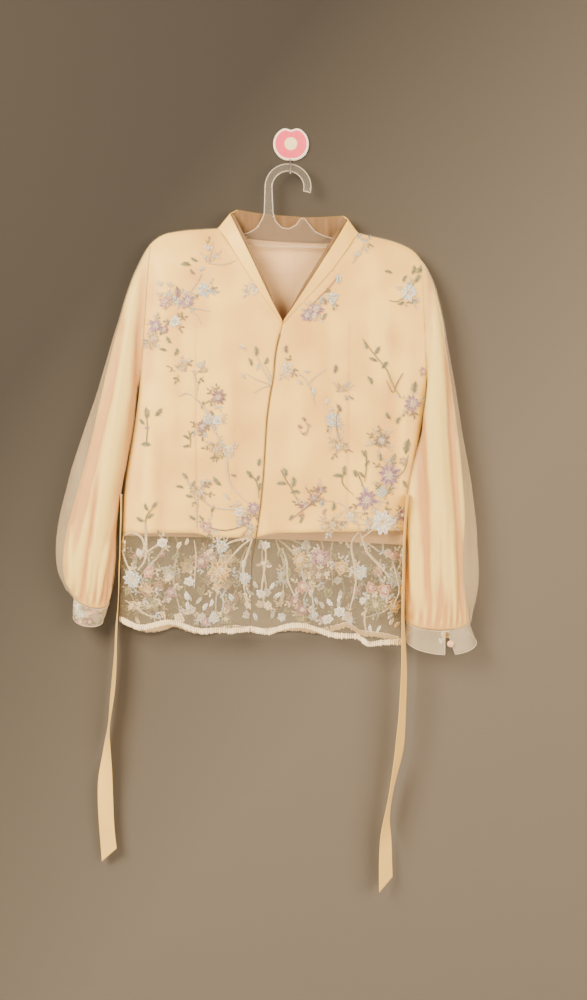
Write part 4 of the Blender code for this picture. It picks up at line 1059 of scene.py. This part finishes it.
    def spray(self, x, z, radius, turn):
        """A fine bent stem out of a flower, with a small leaf on either side and one at its end."""
        thread = self.chance.choice(SPRAYS)
        bend = self.chance.uniform(-0.5, 0.5)
        reach = radius * self.chance.uniform(0.45, 0.8)
        line = [(x + (radius * 0.7 + reach * t) * math.cos(turn + bend * t),
                 z + (radius * 0.7 + reach * t) * math.sin(turn + bend * t)) for t in (0.0, 0.5, 1.0)]
        if not all(self.covers(*point) for point in line):
            return
        pixels = [(PHOTO_ORIGIN[0] + px / PIXEL, PHOTO_ORIGIN[1] - pz / PIXEL) for px, pz in line]
        self.stem(thread, SPRAY_STEM, *pixels)
        for pixel, lean in ((pixels[1], -50), (pixels[1], 50), (pixels[2], 0)):
            degrees = math.degrees(turn + bend) + lean
            self.leaf(*pixel, self.chance.uniform(3.0, 5.2), degrees, thread)

    def sew(self, name, slot):
        """The embroidery as one mesh, with the lie of its threads and the way to its rims as UV maps."""
        mesh = bpy.data.meshes.new(name)
        mesh.from_pydata(self.points, [], self.faces)
        for layer, values in (("threads", self.lies), ("rims", self.edges)):
            flat = [v for loop in mesh.loops for v in values[loop.vertex_index]]
            mesh.uv_layers.new(name=layer).data.foreach_set("uv", flat)
        made = object_of(name, mesh, *(bpy.data.materials[f"Rayon thread {name}"] for name in THREAD_NAMES))
        mesh.polygons.foreach_set("material_index", self.threads)
        mesh.shade_smooth()
        fasten(made, slot)


def repeat_group(name, along_curve):
    """Geometry Nodes that set a small ball on each point, or evenly along a line."""
    group = bpy.data.node_groups.new(name, "GeometryNodeTree")
    sockets = {}
    for socket, kind in zip(REPEAT_INPUTS, ("Geometry", "Vector", "Float", "Int", "Material")):
        made = group.interface.new_socket(socket, in_out="INPUT", socket_type=f"NodeSocket{kind}")
        sockets[socket] = made.identifier
    group.interface.new_socket("Geometry", in_out="OUTPUT", socket_type="NodeSocketGeometry")
    given = add_node(group, "NodeGroupInput").outputs
    chance = {2: 0.72, 3: 1.25, "Seed": given["Seed"]}
    varied = add_node(group, "FunctionNodeRandomValue", chance, data_type="FLOAT").outputs[1]
    settings = {"Points": given["Geometry"]}
    if along_curve:
        curve = add_node(group, "GeometryNodeMeshToCurve", {"Mesh": given["Geometry"]}).outputs[0]
        even = {"Curve": curve, "Length": given["Pitch"]}
        even = add_node(group, "GeometryNodeResampleCurve", even, mode="LENGTH").outputs[0]
        tangent = add_node(group, "GeometryNodeInputTangent").outputs[0]
        turn = add_node(group, "FunctionNodeAlignRotationToVector", {"Vector": tangent}, axis="X").outputs[0]
        points = add_node(group, "GeometryNodeCurveToPoints", {"Curve": even}, mode="EVALUATED").outputs[0]
        settings = {"Points": points, "Rotation": turn}
    else:
        own = add_node(group, "GeometryNodeInputNamedAttribute", {"Name": "size"}, data_type="FLOAT")
        varied = add_node(group, "ShaderNodeMath", {0: varied, 1: own.outputs[0]}, operation="MULTIPLY").outputs[0]
    size = {0: given["Size"], "Scale": varied}
    settings["Scale"] = add_node(group, "ShaderNodeVectorMath", size, operation="SCALE").outputs[0]
    ball = {"Radius": 1.0, "Subdivisions": 2}
    settings["Instance"] = add_node(group, "GeometryNodeMeshIcoSphere", ball).outputs[0]
    shape = add_node(group, "GeometryNodeInstanceOnPoints", settings).outputs[0]
    for kind in ("GeometryNodeRealizeInstances", "GeometryNodeSetShadeSmooth"):
        shape = add_node(group, kind, {"Geometry": shape}).outputs[0]
    finished = {"Geometry": shape, "Material": given["Material"]}
    finished = add_node(group, "GeometryNodeSetMaterial", finished).outputs[0]
    add_node(group, "NodeGroupOutput", {"Geometry": finished})
    return group, sockets


def repeat(name, points, group, size, pitch, finish, slot, sizes=()):
    """Small shapes set on points, each of its own size, or along the line through the points."""
    tree, sockets = group
    mesh = bpy.data.meshes.new(name)
    edges = [] if sizes else [(k, k + 1) for k in range(len(points) - 1)]
    mesh.from_pydata(points, edges, [])
    if sizes:
        mesh.attributes.new("size", "FLOAT", "POINT").data.foreach_set("value", sizes)
    made = object_of(name, mesh)
    nodes = made.modifiers.new("Repeat", "NODES")
    nodes.node_group = tree
    for socket, value in (("Size", size), ("Pitch", pitch), ("Seed", SEED), ("Material", finish)):
        nodes[sockets[socket]] = value
    settle(made)
    fasten(made, slot)


def front_edge():
    """The left front's edge from the neck's point down to the hem's cord."""
    high, low = photo_z(FRONT_EDGE[0]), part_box("hem_cord_front_left")[1].z
    near = photo_point(FRONT_EDGE[1], 0)[0]
    points = rim_points("net_front_left", lambda point: low < point.z < high and point.x > near)
    return sorted(points, key=lambda point: point.z)


def hem_lines(surface, out, low, high):
    """The lowest and highest z of the hem's cord at each of many even places across it."""
    found = []
    for k in range(1, round((high.x - low.x) / HEM_STEP)):
        x = low.x + k * HEM_STEP
        z, hits = low.z, []
        while z < high.z:
            if surface.ray_cast(Vector((x, out, z)), Vector((0.0, -out, 0.0)))[0] is not None:
                hits.append(z)
            z += HEM_STEP / 4
        if hits:
            found.append((x, hits[0], hits[-1]))
    return found


def flat_form(node):
    """A moulded node's form with each flat face in one."""
    work = merged(node)
    bmesh.ops.dissolve_limit(work, angle_limit=math.radians(1), verts=work.verts[:], edges=work.edges[:])
    return work


def flat_rims(work, facing):
    """The outlines of a form's flat faces that look towards the front (-1) or the back (1)."""
    lines = []
    for face in work.faces:
        if face.normal.y * facing > 0.95 and face.calc_area() > 50 * MM * MM:
            line = [vert.co.copy() for vert in face.verts]
            lines.append(line + line[:1])
    return lines


def mould(name, node, work, radius, degrees, *finishes):
    """A moulded piece with its edges rounded where they turn by more than some degrees."""
    piece = object_of(name, work, *finishes)
    edge = piece.modifiers.new("Rounding", "BEVEL")
    edge.width = radius
    edge.segments = 3
    edge.limit_method = "ANGLE"
    edge.angle_limit = math.radians(degrees)
    settle(piece)
    piece.data.shade_smooth()
    piece.data.set_sharp_from_angle(angle=math.radians(degrees))
    fasten(piece, node, node)


def plane(name, finish, corners):
    """A flat four-sided piece of the stage."""
    mesh = bpy.data.meshes.new(name)
    mesh.from_pydata(corners, [], [(0, 1, 2, 3)])
    made = object_of(name, mesh, finish)
    return made


def one_sided_paint(name, tone):
    """Matt paint on the front only, so that the blouse can be looked at from behind; darker towards the top and
    the left, as painted shade.
    """
    paint, tree, place = new_material(name, tone, Roughness=0.85)
    # Painted shade: the paint darkens to a fifth of its tone towards the upper left, as light falls off across the
    # wall.
    slope = {0: place, 1: (0.75, 0.0, -0.6)}
    corner = add_node(tree, "ShaderNodeVectorMath", slope, operation="DOT_PRODUCT").outputs["Value"]
    share = add_node(tree, "ShaderNodeMapRange", {"Value": corner, "From Min": -0.1, "From Max": 0.55})
    two_tone(tree, share.outputs[0], rgba(tone, 0.2), rgba(tone))
    back = add_node(tree, "ShaderNodeNewGeometry").outputs["Backfacing"]
    clear = add_node(tree, "ShaderNodeBsdfTransparent").outputs["BSDF"]
    shader = tree.nodes["Principled BSDF"].outputs["BSDF"]
    mix = add_node(tree, "ShaderNodeMixShader", {0: back, 1: shader, 2: clear})
    tree.links.new(mix.outputs[0], tree.nodes["Material Output"].inputs["Surface"])
    return paint


class BLOUSE_OT_stage(bpy.types.Operator):
    """Set the floor, the soft studio light and the camera"""

    bl_idname = "blouse.stage"
    bl_label = "Stage"

    def execute(self, context):
        stage, colours = context.scene.blouse_stage, context.scene.blouse_colours
        half, low = stage.width / 2, CAD_BOX[0][2] - stage.floor_drop
        paint = plain_material("Floor paint", colours.floor)
        plane("floor", paint, [(-half, -half, low), (half, -half, low), (half, 0, low), (-half, 0, low)])
        paint = one_sided_paint("Backdrop paint", colours.backdrop)
        corners = [(-half, 0, low), (half, 0, low), (half, 0, half), (-half, 0, half)]
        backdrop = plane("backdrop", paint, corners)
        backdrop.visible_diffuse = backdrop.visible_glossy = backdrop.visible_shadow = False

        world = bpy.data.worlds.new("Studio")
        context.scene.world = world
        world.use_nodes = True
        background = world.node_tree.nodes["Background"]
        background.inputs["Color"].default_value = rgba(colours.air)
        background.inputs["Strength"].default_value = 0.5

        centre_x, centre_z = photo_point(PHOTO_SIZE[0] / 2, PHOTO_SIZE[1] / 2)
        aim = Vector((centre_x, SEAM_Y, centre_z))
        camera_data = bpy.data.cameras.new("camera")
        camera_data.sensor_fit = "VERTICAL"
        camera_data.angle = 2 * math.atan(PHOTO_SIZE[1] * PIXEL / 2 / stage.distance)
        camera = bpy.data.objects.new("camera", camera_data)
        context.scene.collection.objects.link(camera)
        camera.location = aim + Vector((0.0, -stage.distance, 0.0))
        camera.rotation_euler = (math.pi / 2, 0.0, 0.0)
        context.scene.camera = camera

        powers = {"key": stage.key_power, "fill": stage.fill_power, "rear": stage.rear_power}
        for name, (place, size, tone) in LAMPS.items():
            lamp = bpy.data.lights.new(name, "AREA")
            lamp.energy = powers[name]
            lamp.size = size
            lamp.color = linear(tone)
            light = bpy.data.objects.new(name, lamp)
            context.scene.collection.objects.link(light)
            light.location = place
            light.rotation_euler = (aim - Vector(place)).to_track_quat("-Z", "Y").to_euler()
        return {"FINISHED"}


class BLOUSE_OT_lining(bpy.types.Operator):
    """Sew the cream satin lining of the body"""

    bl_idname = "blouse.lining"
    bl_label = "Lining"

    def execute(self, context):
        cloth, colours = context.scene.blouse_cloth, context.scene.blouse_colours
        satin = satin_material("Cream satin", colours.lining, colours.lining_shade, cloth.thread)
        build_panels("lining", cloth.lining_thickness, (satin, reverse_material(colours.reverse)))
        return {"FINISHED"}


class BLOUSE_OT_hem(bpy.types.Operator):
    """Overcast the scalloped hem"""

    bl_idname = "blouse.hem"
    bl_label = "Scalloped hem"

    def execute(self, context):
        settings = context.scene.blouse_embroidery
        cord, thread = plain_material("Cotton cord"), plain_material("Cotton overcast thread")
        stitches = repeat_group("Overcast stitches", along_curve=True)
        rows = (("low", 0.35, settings.overcast), ("high", 1.8, 0.45 * settings.overcast))
        for panel in PANEL_LEVELS:
            node = f"hem_cord_{panel}"
            out = 1.0 if panel == "back" else -1.0
            sheet = smooth_sheet(node, 3)
            surface = surface_of(sheet)
            lines = hem_lines(surface, out, *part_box(node))
            thicken(sheet, CORD_THICKNESS, cord)
            fasten(sheet, "hem_cord", node)
            for name, share, reach in rows:
                line = [lay_on(surface, out, x, z + (top - z) * share, 0.2 * MM) for x, z, top in lines]
                size = (STITCH_SHARE * settings.overcast_pitch, 0.8 * MM, reach)
                name = f"hem_stitches_{name}_{panel}"
                repeat(name, line, stitches, size, settings.overcast_pitch, thread, "hem_cord")
        return {"FINISHED"}


class BLOUSE_OT_net(bpy.types.Operator):
    """Sew the net over the body's lining"""

    bl_idname = "blouse.net"
    bl_label = "Net"

    def execute(self, context):
        cloth, colours = context.scene.blouse_cloth, context.scene.blouse_colours
        net = net_material("Nylon net", colours.net, cloth.mesh_hole, cloth.net_cover)
        build_panels("net", cloth.net_thickness, (net,))
        # A dark cord down the left front's edge paints the shadow in the gap between the fronts.
        edge_shadow = plain_material("Front edge painted shadow")
        cord_along("front_edge_painted_shadow", [front_edge()], cloth.rolled_edge, edge_shadow, "net")
        return {"FINISHED"}


class BLOUSE_OT_embroidery(bpy.types.Operator):
    """Embroider the flowers, leaves and stems on the body's net"""

    bl_idname = "blouse.embroidery"
    bl_label = "Embroidery"

    def execute(self, context):
        settings = context.scene.blouse_embroidery
        for name in THREAD_NAMES:
            thread_material(name, settings.thread)
        glass = plain_material("Glass bead")
        beads = repeat_group("Beads", along_curve=False)
        for panel in PANEL_LEVELS:
            front = panel != "back"
            work = Stitching(f"net_{panel}", front, settings)
            low = 0 if front else LACE_TOP
            rows = [(work.stem, row, row[2]) for row in STEMS] + [(work.leaf, row, row) for row in LEAVES]
            rows += [(work.flower, row, row) for row in FLOWERS]
            for stitch, row, place in rows:
                if place[1] >= low and work.covers(*photo_point(*place[:2])):
                    stitch(*row)
            work.sew(f"embroidery_{panel}", "net")
            places, sizes = zip(*work.beads)
            repeat(f"beads_{panel}", places, beads, (settings.bead,) * 3, settings.bead, glass, "net", sizes)
        thread = plain_material("Polyester sewing thread")
        stitches = repeat_group("Seam stitches", along_curve=True)
        size = (STITCH_SHARE * settings.seam_stitch, 0.2 * MM, 0.22 * MM)
        for count, (node, *points) in enumerate(SEAM_ROWS):
            route = smooth_route([photo_point(*point) for point in points], SEAM_STEP)
            height = 0.5 * MM if node.startswith("lining") else 0.05 * MM
            line = [lay_on(SURFACES[node], -1.0, *place, height) for place in route]
            repeat(f"seam_row_{count}", line, stitches, size, settings.seam_stitch, thread, "net")
        return {"FINISHED"}


class BLOUSE_OT_sleeves(bpy.types.Operator):
    """Sew both sleeves, each a lining under a fuller net"""

    bl_idname = "blouse.sleeves"
    bl_label = "Sleeves"

    def execute(self, context):
        cloth, colours = context.scene.blouse_cloth, context.scene.blouse_colours
        satin = satin_material("Sleeve satin", colours.sleeve, colours.sleeve_shade, cloth.thread)
        net = net_material("Sleeve net", colours.net, cloth.mesh_hole, cloth.sleeve_net_cover)
        layers = (
            ("sleeve_lining", satin, "lining", 3, cloth.lining_thickness),
            ("sleeve_net", net, "net", 2, cloth.net_thickness),
        )
        for side, table in (("left", LEFT_SLEEVE_FOLDS), ("right", RIGHT_SLEEVE_FOLDS)):
            armhole = seam_tree(rim_points(f"net_front_{side}") + rim_points("net_back"))
            seams = rim_points(f"sleeve_lining_{side}")
            gather_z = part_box(f"sleeve_lining_{side}")[0].z + GATHER_FOOT
            for kind, finish, slot, levels, thickness in layers:
                node = f"{kind}_{side}"
                sheet = smooth_sheet(node, levels)
                drape(sheet, lambda y, table=table: table, SLEEVE_SWELL, seams, gather_z)
                meet(sheet, armhole, SEAM_REACH)
                lean(sheet, side)
                thicken(sheet, thickness, finish)
                declare(sheet, node, slot)
        return {"FINISHED"}


class BLOUSE_OT_collar(bpy.types.Operator):
    """Sew the standing collar and the net inside it, darkened to taupe as painted shade"""

    bl_idname = "blouse.collar"
    bl_label = "Collar"

    def execute(self, context):
        cloth, colours = context.scene.blouse_cloth, context.scene.blouse_colours
        cream = bpy.data.materials["Cream satin"]
        # The net inside the collar, near-opaque and dark taupe: painted shade inside the neck.
        taupe = net_material("Taupe net", colours.facing, cloth.mesh_hole, 0.85)
        kinds = (
            ("collar", (), 0.8, cream, 2 * cloth.lining_thickness),
            ("neck_facing", FACING_FOLDS, 2.4, taupe, cloth.net_thickness),
        )
        neck = []
        for part in COLLAR_PARTS:
            neck += rim_points(f"net_{part}", lambda point: point.z > photo_z(NECK_FOOT))
        for part in COLLAR_PARTS:
            for kind, folds, swell, finish, thickness in kinds:
                node = f"{kind}_{part}"
                sheet = smooth_sheet(node, 3)
                drape(sheet, lambda y, folds=folds: folds, swell, neck)
                meet(sheet, seam_tree(neck), 0.4 * SEAM_REACH)
                thicken(sheet, thickness, finish)
                declare(sheet, node, kind)
        return {"FINISHED"}


class BLOUSE_OT_cuffs(bpy.types.Operator):
    """Sew the sheer split cuffs and give their buttons a pearl finish"""

    bl_idname = "blouse.cuffs"
    bl_label = "Cuffs"

    def execute(self, context):
        cloth, colours = context.scene.blouse_cloth, context.scene.blouse_colours
        organza = net_material("Stiff organza", colours.organza, 1.6 * MM, 0.16, roughness=0.35)
        rolled, pearl = plain_material("Rolled organza"), pearl_material(colours.button)
        for side in ("left", "right"):
            node = f"cuff_{side}"
            sheet = smooth_sheet(node, 2)
            drape(sheet, lambda y: (), 1.2)
            cord_along(f"cuff_hem_{side}", rim_lines(sheet), cloth.rolled_edge, rolled, "cuff")
            SURFACES[node] = surface_of(sheet)
            lace = Stitching(node, True, context.scene.blouse_embroidery)
            for row in CUFF_FLOWERS[side]:
                lace.flower(*row)
            for row in CUFF_LEAVES[side]:
                lace.leaf(*row)
            lace.sew(f"cuff_lace_{side}", "cuff")
            thicken(sheet, cloth.net_thickness, organza)
            declare(sheet, node, "cuff")
            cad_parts[f"cuff_button_{side}"].material_slots[0].material = pearl
        return {"FINISHED"}


class BLOUSE_OT_ties(bpy.types.Operator):
    """Hang the two satin waist ties"""

    bl_idname = "blouse.ties"
    bl_label = "Ties"

    def execute(self, context):
        cloth, colours = context.scene.blouse_cloth, context.scene.blouse_colours
        # A darker copy of the tie's tone, mixed in where the swell sinks: painted shade.
        shade = [0.82 * part for part in colours.tie]
        satin = satin_material("Tie satin", colours.tie, shade, cloth.thread)
        for side in ("left", "right"):
            node = f"tie_{side}"
            sheet = smooth_sheet(node, 4)
            drape(sheet, lambda y: (), 0.7)
            thicken(sheet, 2 * cloth.lining_thickness, satin)
            declare(sheet, node, "tie")
        return {"FINISHED"}


class BLOUSE_OT_hanger(bpy.types.Operator):
    """Round the moulded hanger's edges and make it clear"""

    bl_idname = "blouse.hanger"
    bl_label = "Hanger"

    def execute(self, context):
        edge = plain_material("Painted polystyrene highlight")
        work = flat_form("hanger")
        # Bright cords along the flat faces' outlines: painted highlights at the clear plastic's edges.
        for name, facing in (("front", -1.0), ("back", 1.0)):
            cord_along(f"hanger_highlight_{name}", flat_rims(work, facing), 0.6 * MM, edge, "hanger")
        mould("hanger_moulding", "hanger", work, 1.1 * MM, 50, clear_material("#F6F1E8"))
        return {"FINISHED"}


class BLOUSE_OT_wall_hook(bpy.types.Operator):
    """Finish the adhesive pad and its wire"""

    bl_idname = "blouse.wall_hook"
    bl_label = "Wall hook"

    def execute(self, context):
        colours, sizes = context.scene.blouse_colours, context.scene.blouse_hook
        rim = plain_material("White moulded ABS", colours.pad_rim)
        inside = plain_material("Moulded ABS", colours.pad)
        work = flat_form("wall_pad")
        front = [face for face in work.faces if face.normal.y < -0.9]
        bmesh.ops.inset_region(
            work, faces=front, thickness=sizes.rim, depth=-sizes.sunk, use_even_offset=True
        )
        for face in front:
            face.material_index = 1
        mould("pad_moulding", "wall_pad", work, 0.35 * MM, 40, rim, inside)

        work = bmesh.new()
        middle = Matrix.Translation((0.0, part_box("wall_pad")[0].y, 0.0))
        bmesh.ops.create_cone(
            work, cap_ends=True, segments=48, radius1=sizes.disc, radius2=0.9 * sizes.disc,
            depth=2 * sizes.sunk, matrix=middle @ Matrix.Rotation(math.pi / 2, 4, "X"),
        )
        disc = object_of("pad_disc", work, plain_material("Cream enamel"))
        disc.data.shade_smooth()
        disc.data.set_sharp_from_angle(angle=math.radians(30))
        fasten(disc, "wall_pad")
        steel = plain_material("Zinc plated steel wire")
        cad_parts["wall_wire"].material_slots[0].material = steel
        return {"FINISHED"}


# The stage comes first; the hem's cord comes before the net.
STEPS = (
    "stage", "lining", "hem", "net", "embroidery", "sleeves", "collar", "cuffs", "ties", "hanger",
    "wall_hook",
)


class BLOUSE_PT_sidebar(bpy.types.Panel):
    """Lists the blouse's settings and its steps in making order"""

    bl_label = "Kebaya Blouse"
    bl_idname = "BLOUSE_PT_sidebar"
    bl_space_type = "VIEW_3D"
    bl_region_type = "UI"
    bl_category = "Blouse"

    def draw(self, context):
        for group in GROUPS:
            settings = getattr(context.scene, group)
            for name in settings.bl_rna.properties.keys():
                if name not in ("rna_type", "name"):
                    self.layout.prop(settings, name)
        for step in STEPS:
            self.layout.operator(f"blouse.{step}")


GROUPS = {
    "blouse_cloth": BlouseCloth, "blouse_colours": BlouseColours, "blouse_embroidery": BlouseEmbroidery,
    "blouse_hook": BlouseHook, "blouse_stage": BlouseStage,
}
CLASSES = tuple(GROUPS.values()) + (
    BLOUSE_OT_stage, BLOUSE_OT_lining, BLOUSE_OT_hem, BLOUSE_OT_net, BLOUSE_OT_embroidery, BLOUSE_OT_sleeves,
    BLOUSE_OT_collar, BLOUSE_OT_cuffs, BLOUSE_OT_ties, BLOUSE_OT_hanger, BLOUSE_OT_wall_hook,
    BLOUSE_PT_sidebar,
)


def register():
    """Adds the blouse's settings, steps and sidebar to Blender."""
    for entry in CLASSES:
        bpy.utils.register_class(entry)
    for name, group in GROUPS.items():
        setattr(bpy.types.Scene, name, bpy.props.PointerProperty(type=group))


def unregister():
    """Takes them out again."""
    for name in GROUPS:
        delattr(bpy.types.Scene, name)
    for entry in reversed(CLASSES):
        bpy.utils.unregister_class(entry)


def main():
    """Registers the blouse's steps and builds every piece."""
    register()
    for step in STEPS:
        getattr(bpy.ops.blouse, step)()


if __name__ == "__main__":
    main()
